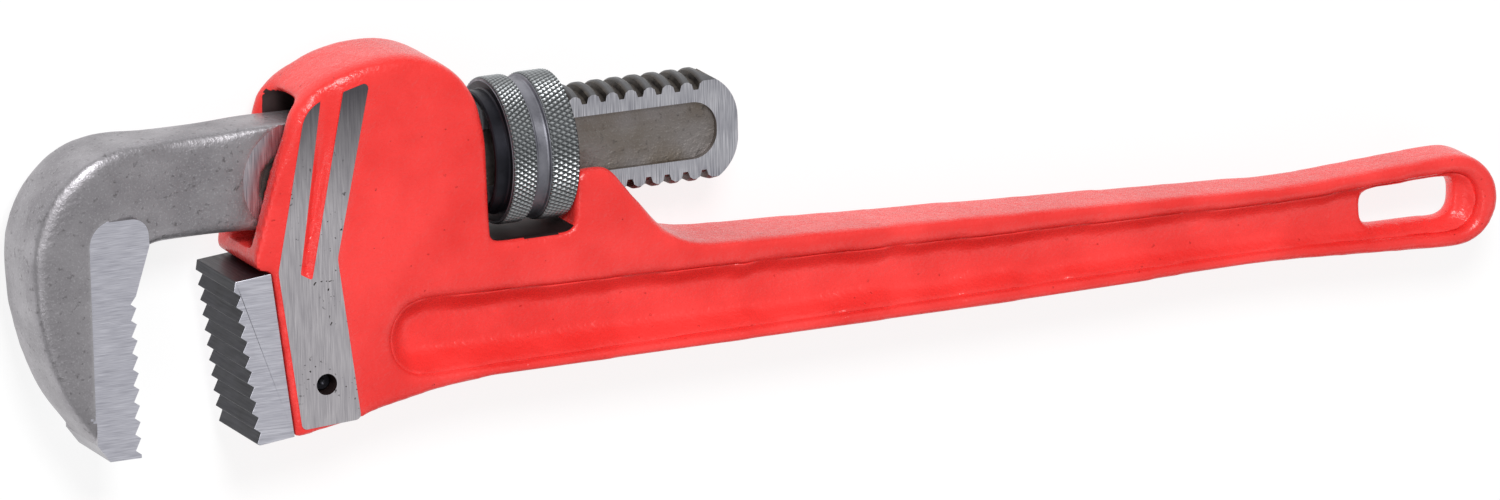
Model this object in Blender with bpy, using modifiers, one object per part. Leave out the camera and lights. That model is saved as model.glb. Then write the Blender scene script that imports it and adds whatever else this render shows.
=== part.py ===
"""Pipe wrench, lying on its side: X runs along the handle, Y across it, Z is up.

Everything is drawn in the tool's own frame, whose X axis is the axis of the threaded shank and
whose origin is where the nut's rear face meets that axis. The jaws are at -X, the handle at +X.
At the end the whole wrench is moved so that the middle of its underside is the world's origin.
"""
import math

import bmesh
import bpy
from mathutils import Matrix

MM = 0.001

# ---- driving dimensions ----
HANDLE_REACH = 288.4 * MM          # nut's rear face to the end of the handle
HANDLE_DROP = 50.0 * MM            # shank axis down to the middle of the handle
HANDLE_DEPTH_NECK = 29.6 * MM      # top to bottom, just behind the nut
HANDLE_DEPTH_GRIP = 21.2 * MM      # top to bottom, at the thin end of the grip
HANDLE_END_RADIUS = 13.5 * MM      # the round end around the hang hole
HOUSING_THICKNESS = 30.0 * MM
GRIP_THICKNESS = 18.6 * MM
WEB_RECESS = 6.3 * MM              # depth of the hollow in each side of the handle
WEB_DRAFT = 4.6 * MM               # how far the hollow's walls lean
FLANGE_TOP = 5.6 * MM              # rim left above the hollow
FLANGE_BOTTOM = 3.9 * MM           # rim left below it
BOSS_RISE = 17.5 * MM              # the boss behind the nut, above the floor of the window
HANG_HOLE_LENGTH = 29.4 * MM
HANG_HOLE_HEIGHT = 11.4 * MM
DOME_HEIGHT = 34.1 * MM            # top of the housing above the shank axis
HOUSING_LENGTH = 59.0 * MM         # nut window to the mouth, at the dome
CAST_EDGE = 2.6 * MM               # rounding of the casting's edges
PAD_HEIGHT = 0.6 * MM              # the ground pads stand this proud of the casting
GROOVE_DEPTH = 1.0 * MM

THREAD_DIAMETER = 31.75 * MM
THREAD_PITCH = 25.4 / 4.5 * MM
THREAD_DEPTH = 2.0 * MM
THREAD_ROOT_WIDTH = 1.5 * MM
THREAD_MOUTH_WIDTH = 2.9 * MM
THREAD_PHASE = 0.9 * MM            # where one groove crosses the top of the shank
THREAD_STEPS = 24                  # straight steps in one turn
THREAD_RUN_IN = 2.0 * MM           # the groove starts this far before the threaded part
THREAD_RUNOUT = 11.0 * MM          # plain end of the shank
SHANK_REACH = 53.3 * MM            # nut's rear face to the shank's end
SHANK_FLATS = 15.0 * MM            # thickness over the milled flats
SHANK_FORGED = 17.0 * MM           # thickness where it is left as forged
SHANK_BACK = 1.6 * MM              # the forged back stands this proud of the thread
SHANK_WAIST = 3.7 * MM             # and the forged underside lies this far inside it
POCKET_DEPTH = 2.0 * MM
POCKET_HEIGHT = 16.4 * MM

NUT_WALL = 5.125 * MM              # thread to the knurl
NUT_WIDTH = 20.0 * MM
NUT_HUB_WALL = 1.625 * MM          # thread to the hub
NUT_HUB_LENGTH = 4.0 * MM
NUT_BAND = 8.0 * MM                # width of each knurled band
NUT_GROOVE_DEPTH = 1.6 * MM
NUT_CHAMFER = 0.7 * MM

JAW_OPENING = 27.8 * MM            # between the two rows of teeth at rest
HOOK_DEPTH = 30.7 * MM             # tooth tips to the back of the hook
HOOK_DROP = 72.0 * MM              # shank axis to the hook's tip
HOOK_THICKNESS = 26.0 * MM
HOOK_GROUND = 24.4 * MM            # thickness over the ground sides of its toothed edge
HOOK_ROUNDING = 4.4 * MM
HOOK_TOOTH_PITCH = 4.66 * MM
HOOK_TOOTH_DEPTH = 1.7 * MM
HOOK_TEETH = 10
GROUND_WIDTH = 13.3 * MM           # width of the ground sides behind the tooth tips
GROUND_TOP = -2.7 * MM             # where they end, measured from the shank axis

SEAT_AHEAD = 6.3 * MM              # top of the heel jaw's seat: ahead of the housing
SEAT_DOWN = 6.2 * MM               # and below the floor of the slot
HEEL_TILT = math.radians(6.45)
HEEL_WIDTH = 29.0 * MM
HEEL_HEIGHT = 48.0 * MM
HEEL_DEPTH = 11.9 * MM
HEEL_TOOTH_PITCH = 4.44 * MM
HEEL_TOOTH_DEPTH = 1.8 * MM
HEEL_TEETH = 10
TENON_WIDTH = 17.4 * MM
TENON_DEPTH = 20.0 * MM
TENON_TOP = 4.5 * MM               # tenon starts this far below the heel jaw's top
TENON_HEIGHT = 38.0 * MM
PIN_DIAMETER = 5.5 * MM
PIN_RECESS = 3.5 * MM              # each end of the pin below the face of the housing
PIN_INSET = 10.9 * MM              # pin behind the seat
PIN_DOWN = 35.1 * MM               # pin below the seat's top

SPRING_PLAY = 3.6 * MM             # shank's back to the roof of the slot
LEAF_THICKNESS = 0.9 * MM
LEAF_WIDTH = 12.0 * MM
COIL_DIAMETER = 8.0 * MM
COIL_WIRE = 1.2 * MM
COIL_TURNS = 4.5
COIL_POCKET_DEPTH = 8.0 * MM
RIVET_DIAMETER = 4.0 * MM

# ---- clearances ----
TOUCH = 0.3 * MM                   # between pieces that rest on each other
THREAD_CLEARANCE = 0.35 * MM
NUT_PLAY = 2.3 * MM                # the nut's free length in its window
SLOT_PLAY = 1.0 * MM               # the shank's free width in its slot
NUT_FLOOR_GAP = 1.5 * MM
SLOT_FLOOR_GAP = 0.8 * MM          # below the thread
PIN_CLEARANCE = 0.3 * MM

# ---- places worked out from the sizes ----
THREAD_RADIUS = THREAD_DIAMETER / 2
NUT_RADIUS = THREAD_RADIUS + NUT_WALL
SHANK_TOP = THREAD_RADIUS + SHANK_BACK
SHANK_BOTTOM = THREAD_RADIUS - SHANK_WAIST
SLOT_WIDTH = SHANK_FORGED + SLOT_PLAY
ROOT_RADIUS = THREAD_RADIUS - THREAD_DEPTH
NUT_BORE = ROOT_RADIUS + THREAD_CLEARANCE
WINDOW_RIGHT = TOUCH * 2
WINDOW_LEFT = WINDOW_RIGHT - NUT_WIDTH - NUT_HUB_LENGTH - NUT_PLAY
WINDOW_FLOOR = -(NUT_RADIUS + NUT_FLOOR_GAP)
HALF = HOUSING_THICKNESS / 2
MOUTH_X = WINDOW_LEFT - HOUSING_LENGTH
CLOSED_TRAVEL = 25.0 * MM
THREAD_START = -(NUT_WIDTH + NUT_HUB_LENGTH + CLOSED_TRAVEL + 2 * MM)
SLOT_FLOOR = -(THREAD_RADIUS + SLOT_FLOOR_GAP)
SLOT_ROOF = SHANK_TOP + SPRING_PLAY
SEAT_X = MOUTH_X - SEAT_AHEAD
SEAT_Y = SLOT_FLOOR - SEAT_DOWN
HOOK_EDGE_X = SEAT_X - HEEL_DEPTH - JAW_OPENING
HOOK_BACK_X = HOOK_EDGE_X - HOOK_DEPTH
HANDLE_END_X = HANDLE_REACH - HANDLE_END_RADIUS
NECK_X = 45.0 * MM
GRIP_X = HANDLE_END_X - 50.0 * MM
NECK_TOP = -HANDLE_DROP + 3.3 * MM + HANDLE_DEPTH_NECK / 2
NECK_LOW = NECK_TOP - HANDLE_DEPTH_NECK
GRIP_TOP = -HANDLE_DROP + HANDLE_DEPTH_GRIP / 2
GRIP_LOW = GRIP_TOP - HANDLE_DEPTH_GRIP
FAR = 0.4                          # past every face, for cutters

scene = bpy.context.scene
for old in list(bpy.data.objects):
    bpy.data.objects.remove(old, do_unlink=True)
parts = bpy.data.collections.new("pipe_wrench")
cutters = bpy.data.collections.new("cutters")
scene.collection.children.link(parts)
scene.collection.children.link(cutters)


def material(name, color, roughness, metallic):
    """A plain Principled material."""
    mat = bpy.data.materials.new(name)
    mat.use_nodes = True
    shader = mat.node_tree.nodes["Principled BSDF"]
    shader.inputs["Base Color"].default_value = (*color, 1.0)
    shader.inputs["Roughness"].default_value = roughness
    shader.inputs["Metallic"].default_value = metallic
    mat.diffuse_color = (*color, 1.0)
    return mat


def fillet(corners, step=math.radians(20)):
    """Corners (x, y, radius) to points, each corner rounded by an arc tangent to both sides."""
    points = []
    count = len(corners)
    for i, (x, y, radius) in enumerate(corners):
        px, py, _ = corners[i - 1]
        nx, ny, _ = corners[(i + 1) % count]
        into = math.atan2(y - py, x - px)
        turn = (math.atan2(ny - y, nx - x) - into + math.pi) % (2 * math.pi) - math.pi
        if radius == 0 or abs(turn) < 1e-4:
            points.append((x, y))
            continue
        side = math.copysign(1, turn)
        reach = radius * math.tan(abs(turn) / 2)
        sx, sy = x - reach * math.cos(into), y - reach * math.sin(into)
        cx, cy = sx - side * radius * math.sin(into), sy + side * radius * math.cos(into)
        pieces = max(1, math.ceil(abs(turn) / step))
        for k in range(pieces + 1):
            a = into - side * math.pi / 2 + turn * k / pieces
            points.append((cx + radius * math.cos(a), cy + radius * math.sin(a)))
    return [p for k, p in enumerate(points) if math.dist(p, points[k - 1]) > 0.01 * MM]


def arc(cx, cy, rx, ry, start, end, pieces):
    """Points along a stretch of an ellipse; angles in degrees."""
    angles = [math.radians(start + (end - start) * k / pieces) for k in range(pieces + 1)]
    return [(cx + rx * math.cos(a), cy + ry * math.sin(a)) for a in angles]


def plate(name, points, low, high, collection=parts, turn=None):
    """A flat outline in XY made solid between two heights, as a mesh. turn places it."""
    curve = bpy.data.curves.new(name, "CURVE")
    curve.dimensions = "2D"
    curve.fill_mode = "BOTH"
    curve.extrude = (high - low) / 2
    spline = curve.splines.new("POLY")
    spline.points.add(len(points) - 1)
    for point, (x, y) in zip(spline.points, points):
        point.co = (x, y, 0, 1)
    spline.use_cyclic_u = True
    flat = bpy.data.objects.new(name + "_outline", curve)
    flat.matrix_world = (turn or Matrix()) @ Matrix.Translation((0, 0, (low + high) / 2))
    return curve_to_mesh(flat, name, collection)


def curve_to_mesh(flat, name, collection):
    """Replace a curve object by a welded mesh object in the tool's frame."""
    scene.collection.objects.link(flat)
    bpy.context.view_layer.update()
    graph = bpy.context.evaluated_depsgraph_get()
    mesh = bpy.data.meshes.new_from_object(flat.evaluated_get(graph))
    mesh.name = name
    mesh.transform(flat.matrix_world)
    data = flat.data
    bpy.data.objects.remove(flat)
    bpy.data.curves.remove(data)
    return mesh_object(name, mesh, collection)


def mesh_object(name, mesh, collection):
    """Weld a mesh, turn its faces outwards and put it in a collection."""
    bm = bmesh.new()
    bm.from_mesh(mesh)
    bmesh.ops.remove_doubles(bm, verts=bm.verts, dist=1e-6)
    bmesh.ops.recalc_face_normals(bm, faces=bm.faces)
    bm.to_mesh(mesh)
    bm.free()
    obj = bpy.data.objects.new(name, mesh)
    collection.objects.link(obj)
    if collection is cutters:
        obj.hide_render = True
        obj.display_type = "WIRE"
    return obj


def rod(name, radius, start, end, axis="X", sides=32, at=(0, 0), collection=cutters):
    """A cylinder along an axis between two places on it."""
    bm = bmesh.new()
    bmesh.ops.create_cone(bm, cap_ends=True, segments=sides, radius1=radius, radius2=radius,
                          depth=end - start)
    middle = (start + end) / 2
    if axis == "X":
        place = Matrix.Translation((middle, *at)) @ Matrix.Rotation(math.pi / 2, 4, "Y")
    elif axis == "Y":
        place = Matrix.Translation((at[0], middle, at[1])) @ Matrix.Rotation(math.pi / 2, 4, "X")
    else:
        place = Matrix.Translation((*at, middle))
    bmesh.ops.transform(bm, matrix=place, verts=bm.verts)
    mesh = bpy.data.meshes.new(name)
    bm.to_mesh(mesh)
    bm.free()
    return mesh_object(name, mesh, collection)


def boolean(target, tool, operation="DIFFERENCE"):
    """Cut, join or keep the overlap of two solids."""
    mod = target.modifiers.new(operation.title() + " " + tool.name, "BOOLEAN")
    mod.operation = operation
    mod.solver = "EXACT"
    mod.object = tool
    return mod


def bevel(target, width, segments=2, angle=50):
    """Round the edges sharper than an angle in degrees."""
    mod = target.modifiers.new("Edges", "BEVEL")
    mod.width = width
    mod.segments = segments
    mod.limit_method = "ANGLE"
    mod.angle_limit = math.radians(angle)
    return mod


def both_sides(name, points, low, high, collection=cutters, lean=0.0, pivot_x=0.0, soften=0.0):
    """One plate above the mid-plane and its mirror image below, each leaning about Y."""
    made = []
    for side, word in ((1, "upper"), (-1, "lower")):
        tilt = Matrix.Translation((pivot_x, 0, 0)) @ Matrix.Rotation(side * lean, 4, "Y")
        place = tilt @ Matrix.Translation((-pivot_x, 0, 0))
        ends = (low, high) if side > 0 else (-high, -low)
        piece = plate(f"{name}_{word}", points, *ends, collection, place)
        if soften:
            bevel(piece, soften, 2, 60)
        made.append(piece)
    return made


def helix(name, near_radius, far_radius, near_width, far_width, start, turns):
    """A right-hand coil of trapezoid section, starting at the top of the shank."""
    mesh = bpy.data.meshes.new(name)
    profile = [(-near_width / 2, near_radius), (near_width / 2, near_radius),
               (far_width / 2, far_radius), (-far_width / 2, far_radius)]
    edges = [(k, (k + 1) % 4) for k in range(4)]
    mesh.from_pydata([(start + x, y, 0) for x, y in profile], edges, [])
    wire = bpy.data.objects.new(name + "_profile", mesh)
    scene.collection.objects.link(wire)
    screw = wire.modifiers.new("Turns", "SCREW")
    screw.axis = "X"
    screw.screw_offset = THREAD_PITCH
    screw.iterations = turns
    screw.steps = screw.render_steps = THREAD_STEPS
    screw.use_smooth_shade = False
    bpy.context.view_layer.update()
    graph = bpy.context.evaluated_depsgraph_get()
    swept = bpy.data.meshes.new_from_object(wire.evaluated_get(graph))
    swept.name = name
    bpy.data.objects.remove(wire)
    bpy.data.meshes.remove(mesh)
    bm = bmesh.new()
    bm.from_mesh(swept)
    bmesh.ops.remove_doubles(bm, verts=bm.verts, dist=1e-6)
    bmesh.ops.holes_fill(bm, edges=[e for e in bm.edges if e.is_boundary], sides=0)
    bm.to_mesh(swept)
    bm.free()
    return mesh_object(name, swept, cutters)


def turned(name, profile, steps, collection=parts):
    """A closed profile of (x, radius) points turned round the shank axis."""
    mesh = bpy.data.meshes.new(name)
    edges = [(k, (k + 1) % len(profile)) for k in range(len(profile))]
    mesh.from_pydata([(x, r, 0) for x, r in profile], edges, [])
    wire = bpy.data.objects.new(name + "_profile", mesh)
    scene.collection.objects.link(wire)
    screw = wire.modifiers.new("Turn", "SCREW")
    screw.axis = "X"
    screw.steps = screw.render_steps = steps
    screw.use_merge_vertices = True
    screw.merge_threshold = 1e-6
    bpy.context.view_layer.update()
    graph = bpy.context.evaluated_depsgraph_get()
    round_mesh = bpy.data.meshes.new_from_object(wire.evaluated_get(graph))
    round_mesh.name = name
    bpy.data.objects.remove(wire)
    bpy.data.meshes.remove(mesh)
    return mesh_object(name, round_mesh, collection)


def finish(obj, mat, smooth=30):
    """Give a finished piece its material and shading."""
    obj.data.materials.clear()
    obj.data.materials.append(mat)
    obj.data.shade_smooth()
    obj.data.set_sharp_from_angle(angle=math.radians(smooth))
    return obj


def seat(down, back):
    """A place in the heel jaw's own directions: down its seat, and back into the housing."""
    s, c = math.sin(HEEL_TILT), math.cos(HEEL_TILT)
    return (SEAT_X + s * down + c * back, SEAT_Y - c * down + s * back)


# ---- the casting ----
def half_thickness(x):
    """Half the thickness of the casting at a place along the handle."""
    share = min(max((x - WINDOW_LEFT) / (GRIP_X - WINDOW_LEFT), 0), 1)
    return (HOUSING_THICKNESS + (GRIP_THICKNESS - HOUSING_THICKNESS) * share) / 2


def casting_outline():
    """Outline of the handle and housing, anticlockwise from the bottom front corner."""
    end_top = -HANDLE_DROP + HANDLE_END_RADIUS
    end_low = -HANDLE_DROP - HANDLE_END_RADIUS
    dome_x, dome_y = WINDOW_LEFT - HOUSING_LENGTH * 0.45, 10 * MM
    dome = DOME_HEIGHT - dome_y
    boss_top = WINDOW_FLOOR + BOSS_RISE
    corners = [
        (*seat(HEEL_HEIGHT + 0.6 * MM, 0), 0),
        (-34 * MM, NECK_LOW + 0.3 * MM, 90 * MM),
        (NECK_X + 85 * MM, NECK_LOW, 300 * MM),
        (GRIP_X - 12 * MM, GRIP_LOW + 0.3 * MM, 130 * MM),
        (HANDLE_END_X - 2 * MM, end_low, 30 * MM),
        (HANDLE_REACH, end_low, HANDLE_END_RADIUS),
        (HANDLE_REACH, end_top, HANDLE_END_RADIUS),
        (HANDLE_END_X - 2 * MM, end_top, 30 * MM),
        (GRIP_X, GRIP_TOP + 0.2 * MM, 130 * MM),
        (WINDOW_RIGHT + 31.5 * MM, NECK_TOP + 0.6 * MM, 22 * MM),
        (WINDOW_RIGHT + 10.8 * MM, boss_top + 0.5 * MM, 6.5 * MM),
        (WINDOW_RIGHT + 1.0 * MM, boss_top, 3.2 * MM),
        (WINDOW_RIGHT, WINDOW_FLOOR, 3 * MM),
        (WINDOW_LEFT + 0.6 * MM, WINDOW_FLOOR, 1 * MM),
    ]
    right = arc(dome_x, dome_y, WINDOW_LEFT - dome_x, dome, 0, 90, 8)
    left = arc(dome_x, dome_y, dome_x - MOUTH_X + 3.7 * MM, dome, 90, 150, 5)
    corners += [(*point, 0) for point in right + left[1:]]
    corners += [(SEAT_X - 5.8 * MM, SEAT_Y + 1.0 * MM, 3.2 * MM), (*seat(0, 0), 0)]
    return fillet(corners)


def web_hollow():
    """Outline of the hollow in the side of the handle, measured at the face."""
    top, low = NECK_TOP - FLANGE_TOP, NECK_LOW + FLANGE_BOTTOM
    start = WINDOW_LEFT - 30.5 * MM
    end = HANDLE_REACH - 6.4 * MM
    end_half = HANDLE_END_RADIUS - FLANGE_BOTTOM
    return fillet([
        (start, low - 0.6 * MM, 10 * MM),
        (NECK_X + 85 * MM, low, 300 * MM),
        (GRIP_X - 8 * MM, GRIP_LOW + FLANGE_BOTTOM * 0.9, 100 * MM),
        (end, -HANDLE_DROP - end_half, 8 * MM),
        (end, -HANDLE_DROP + end_half - 0.8 * MM, 8 * MM),
        (GRIP_X, GRIP_TOP - FLANGE_TOP * 0.75, 100 * MM),
        (start, top + 1.6 * MM, 11 * MM),
    ])


def pad_outline():
    """Outline of the ground pad beside the heel jaw and up the housing."""
    return fillet([
        (*seat(HEEL_HEIGHT - 1.6 * MM, 1.9 * MM), 1 * MM),
        (*seat(HEEL_HEIGHT - 0.6 * MM, 19.6 * MM), 1.2 * MM),
        (*seat(0.4 * MM, 19.4 * MM), 6 * MM),
        (MOUTH_X + 24.3 * MM, 28.4 * MM, 1.2 * MM),
        (MOUTH_X + 5.4 * MM, 22.6 * MM, 6.5 * MM),
        (*seat(0.2 * MM, 1.5 * MM), 6 * MM),
    ])


def groove_outline():
    """The tapering cast groove that crosses the pad."""
    return fillet([
        (MOUTH_X + 2.2 * MM, -25.2 * MM, 0),
        (MOUTH_X + 4.8 * MM, -26.2 * MM, 0),
        (MOUTH_X + 17.1 * MM, 33 * MM, 2.6 * MM),
        (MOUTH_X + 11.1 * MM, 33 * MM, 2.6 * MM),
    ])


def make_handle(paint):
    body = plate("handle", casting_outline(), -HALF, HALF)
    xs = (-FAR, WINDOW_LEFT, GRIP_X, FAR)
    side = [(x, half_thickness(x)) for x in xs]
    wedge_points = [(x, -z) for x, z in side] + [(x, z) for x, z in reversed(side)]
    upright = Matrix.Rotation(math.pi / 2, 4, "X")
    wedge = plate("thickness", wedge_points, -FAR, FAR, cutters, upright)
    boolean(body, wedge, "INTERSECT")
    bevel(body, CAST_EDGE, 2, 50)
    for pad in both_sides("pad", pad_outline(), HALF - 3 * MM, HALF + PAD_HEIGHT):
        boolean(body, pad, "UNION")
    for groove in both_sides("groove", groove_outline(), HALF + PAD_HEIGHT - GROOVE_DEPTH, FAR):
        boolean(body, groove)
    lean = math.atan2(half_thickness(WINDOW_LEFT) - half_thickness(GRIP_X), GRIP_X - WINDOW_LEFT)
    floor = half_thickness(0) - WEB_RECESS
    hollows = both_sides("hollow", web_hollow(), floor, floor + 4 * WEB_RECESS, cutters, lean, 0,
                         WEB_DRAFT)
    for hollow in hollows:
        boolean(body, hollow)
    half_hole = HANG_HOLE_HEIGHT / 2
    hole_end = HANDLE_REACH - 12.0 * MM
    hole_y = -HANDLE_DROP + 0.7 * MM
    hole = fillet([(hole_end - HANG_HOLE_LENGTH, hole_y - half_hole, 3 * MM),
                   (hole_end - 1.2 * MM, hole_y - half_hole, 3 * MM),
                   (hole_end, hole_y + half_hole, 3 * MM),
                   (hole_end - HANG_HOLE_LENGTH, hole_y + half_hole, 3 * MM)])
    boolean(body, plate("hang_hole", hole, -FAR, FAR, cutters))
    boolean(body, shank_slot())
    boolean(body, tenon_slot())
    pin = seat(PIN_DOWN, PIN_INSET)
    boolean(body, rod("pin_hole", PIN_DIAMETER / 2 + PIN_CLEARANCE, -FAR, FAR, "Z", 20, pin))
    coil_at = coil_place()
    boolean(body, rod("coil_pocket", COIL_DIAMETER / 2 + 0.6 * MM, 0,
                      SLOT_ROOF + COIL_POCKET_DEPTH, "Y", 20, (coil_at, 0)))
    boolean(body, rod("rivet_hole", RIVET_DIAMETER / 2 + TOUCH, 0, SLOT_ROOF + 7 * MM, "Y", 16,
                      (rivet_place(), 0)))
    return finish(body, paint)


def shank_slot():
    """The slot through the housing and the boss behind the nut, open at the mouth."""
    points = [(-FAR, SLOT_FLOOR), (WINDOW_RIGHT + 60 * MM, SLOT_FLOOR),
              (WINDOW_RIGHT + 60 * MM, SLOT_ROOF), (MOUTH_X + 14 * MM, SLOT_ROOF),
              (MOUTH_X - 1 * MM, SLOT_ROOF + 4.2 * MM), (-FAR, SLOT_ROOF + 4.2 * MM)]
    return plate("shank_slot", points, -SLOT_WIDTH / 2, SLOT_WIDTH / 2, cutters)


def tenon_slot():
    """The blind slot behind the heel jaw's seat."""
    low = TENON_TOP + TENON_HEIGHT + TOUCH
    high = TENON_TOP - TOUCH
    back = TENON_DEPTH + TOUCH
    points = [seat(low, -9 * MM), seat(low, back), seat(high, back), seat(high, -9 * MM)]
    half = TENON_WIDTH / 2 + TOUCH
    return plate("tenon_slot", points, -half, half, cutters)


def coil_place():
    return WINDOW_LEFT - HOUSING_LENGTH * 0.62


def rivet_place():
    return WINDOW_LEFT - HOUSING_LENGTH * 0.2


# ---- the hook jaw ----
def hook_outline():
    """Outline of the forging from the thread's start round the hook and back."""
    back_x = HOOK_BACK_X
    belly_y = -15.2 * MM
    crown = SHANK_TOP - belly_y
    shoulder_x = back_x + 30.2 * MM
    back = arc(shoulder_x, belly_y, shoulder_x - back_x, crown, 90, 180, 9)
    belly_radius = 87 * MM
    fall = -HOOK_DROP - belly_y
    low = -math.degrees(math.asin(min(-fall / belly_radius, 1)))
    belly = arc(back_x + belly_radius, belly_y, belly_radius, belly_radius, 180, 180 - low, 5)
    inner = HOOK_EDGE_X - HOOK_TOOTH_DEPTH - 1.2 * MM
    inside = THREAD_RADIUS - 0.3 * MM
    corners = [(*belly[-1], 2.5 * MM), (inner, -HOOK_DROP + 0.8 * MM, 0),
               (inner, -SHANK_BOTTOM, 9 * MM), (THREAD_START - 12 * MM, -SHANK_BOTTOM, 0),
               (THREAD_START, -inside, 0), (THREAD_START + 1 * MM, -inside, 0),
               (THREAD_START + 1 * MM, inside, 0), (THREAD_START, inside, 0),
               (THREAD_START - 22 * MM, SHANK_TOP, 0)]
    return back + belly[1:-1] + fillet([belly[-2] + (0,)] + corners)[1:]


def hook_tooth_edge():
    """The toothed edge: a thumb-shaped outline whose +X side is a row of teeth."""
    tip = HOOK_EDGE_X
    root = tip - HOOK_TOOTH_DEPTH
    bottom = -HOOK_DROP + 0.7 * MM
    first = bottom + 1.0 * MM + HOOK_TOOTH_PITCH * (HOOK_TEETH - 1)
    teeth = [(tip, bottom)]
    for k in reversed(range(HOOK_TEETH)):
        y = first - k * HOOK_TOOTH_PITCH
        teeth += [(tip, y), (root, y + 1.2 * MM)]
    left = tip - GROUND_WIDTH + 1 * MM
    top = GROUND_TOP - 1 * MM
    crown = fillet([teeth[-1] + (0,), (tip, first + 3.4 * MM, 0), (tip + 4.6 * MM, -11 * MM, 4 * MM),
                    (tip + 4.2 * MM, top, 5 * MM), (left, top, 6 * MM),
                    (left, bottom + 0.6 * MM, 0)])
    return teeth[:-1] + crown


def ground_outline():
    """Outline of the ground sides of the toothed edge."""
    left, right = HOOK_EDGE_X - GROUND_WIDTH, HOOK_EDGE_X + 5.4 * MM
    return fillet([(left, GROUND_TOP, 7 * MM), (left, -FAR, 0), (right, -FAR, 0),
                   (right, GROUND_TOP, 6 * MM)])


def make_hook_jaw(steel):
    jaw = plate("hook_jaw", hook_outline(), -HOOK_THICKNESS / 2, HOOK_THICKNESS / 2)
    flare = HOOK_EDGE_X + 3.5 * MM
    half, thin = HOOK_THICKNESS / 2, SHANK_FORGED / 2
    side = [(-FAR, half), (flare, half), (flare + 8 * MM, thin), (FAR, thin)]
    points = [(x, -z) for x, z in side] + [(x, z) for x, z in reversed(side)]
    upright = Matrix.Rotation(math.pi / 2, 4, "X")
    boolean(jaw, plate("flare", points, -FAR, FAR, cutters, upright), "INTERSECT")
    bevel(jaw, HOOK_ROUNDING, 3, 50)
    half = HOOK_GROUND / 2
    teeth = plate("hook_teeth", hook_tooth_edge(), -half - 0.3 * MM, half + 0.3 * MM, cutters)
    boolean(jaw, teeth, "UNION")
    for tool in both_sides("jaw_mill", ground_outline(), half, FAR):
        boolean(jaw, tool)
    boolean(jaw, make_shank(), "UNION")
    flat_start = MOUTH_X - 11.5 * MM
    flats = fillet([(flat_start, -15.3 * MM, 16.4 * MM), (FAR, -15.3 * MM, 0),
                    (FAR, SHANK_TOP + 0.3 * MM, 0), (flat_start, SHANK_TOP + 0.3 * MM, 16.4 * MM)])
    for tool in both_sides("flat", flats, SHANK_FLATS / 2, FAR):
        boolean(jaw, tool)
    half_pocket = POCKET_HEIGHT / 2
    pocket = fillet([(flat_start + 6 * MM, -half_pocket, 7.5 * MM),
                     (SHANK_REACH - 8.6 * MM, -half_pocket, 7.5 * MM),
                     (SHANK_REACH - 8.6 * MM, half_pocket, 7.5 * MM),
                     (flat_start + 6 * MM, half_pocket, 7.5 * MM)])
    for tool in both_sides("pocket", pocket, SHANK_FLATS / 2 - POCKET_DEPTH, FAR):
        boolean(jaw, tool)
    return finish(jaw, steel)


def make_shank():
    """The threaded part of the shank, still without its flats."""
    round_end = THREAD_RADIUS * 0.84
    side, half = THREAD_RADIUS + 0.2 * MM, SHANK_FORGED / 2 - 0.3 * MM
    outline = fillet([(THREAD_START, -side, 0), (SHANK_REACH, -side, round_end),
                      (SHANK_REACH, side, round_end), (THREAD_START, side, 0)], math.radians(15))
    shank = plate("shank", outline, -half, half, cutters)
    boolean(shank, rod("shank_round", THREAD_RADIUS, -FAR, FAR, "X", THREAD_STEPS * 2), "INTERSECT")
    before = math.ceil((THREAD_RUN_IN - THREAD_START) / THREAD_PITCH)
    start = THREAD_PHASE - THREAD_PITCH * before
    turns = before + math.floor((SHANK_REACH - THREAD_RUNOUT) / THREAD_PITCH) + 1
    slope = (THREAD_MOUTH_WIDTH - THREAD_ROOT_WIDTH) / THREAD_DEPTH
    over = 0.8 * MM
    boolean(shank, helix("shank_groove", ROOT_RADIUS, THREAD_RADIUS + over, THREAD_ROOT_WIDTH,
                         THREAD_MOUTH_WIDTH + slope * over, start, turns))
    return shank


# ---- the nut ----
def make_nut(steel):
    outer, hub, bore = NUT_RADIUS, THREAD_RADIUS + NUT_HUB_WALL, NUT_BORE
    groove = outer - NUT_GROOVE_DEPTH
    cut = NUT_CHAMFER
    front = -NUT_WIDTH
    profile = [
        (0, bore + 2 * MM), (0, outer - cut), (-cut, outer), (-NUT_BAND - cut, outer),
        (-NUT_BAND - 2 * cut, groove), (front + NUT_BAND, groove), (front + NUT_BAND - cut, outer),
        (front + cut, outer), (front, outer - cut), (front, hub), (front - NUT_HUB_LENGTH, hub - cut),
        (front - NUT_HUB_LENGTH, bore + 2 * MM), (front - NUT_HUB_LENGTH + 2 * MM, bore),
        (-2 * MM, bore),
    ]
    nut = turned("adjusting_nut", profile, THREAD_STEPS * 2)
    deep = THREAD_RADIUS + THREAD_CLEARANCE
    slope = (THREAD_MOUTH_WIDTH - THREAD_ROOT_WIDTH) / THREAD_DEPTH

    def width(radius):
        """Width of the nut's groove: a pitch less its ridge, which clears the shank's groove."""
        ridge = THREAD_ROOT_WIDTH + slope * (radius - ROOT_RADIUS) - 2 * THREAD_CLEARANCE
        return THREAD_PITCH - ridge

    near = bore - 0.6 * MM
    turns = math.ceil((NUT_WIDTH + NUT_HUB_LENGTH) / THREAD_PITCH) + 2
    first = THREAD_PHASE - THREAD_PITCH * (math.ceil((NUT_WIDTH + NUT_HUB_LENGTH) / THREAD_PITCH) + 1)
    boolean(nut, helix("nut_groove", near, deep, width(near), width(deep),
                       first + THREAD_PITCH / 2, turns))
    return finish(nut, steel)


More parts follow.
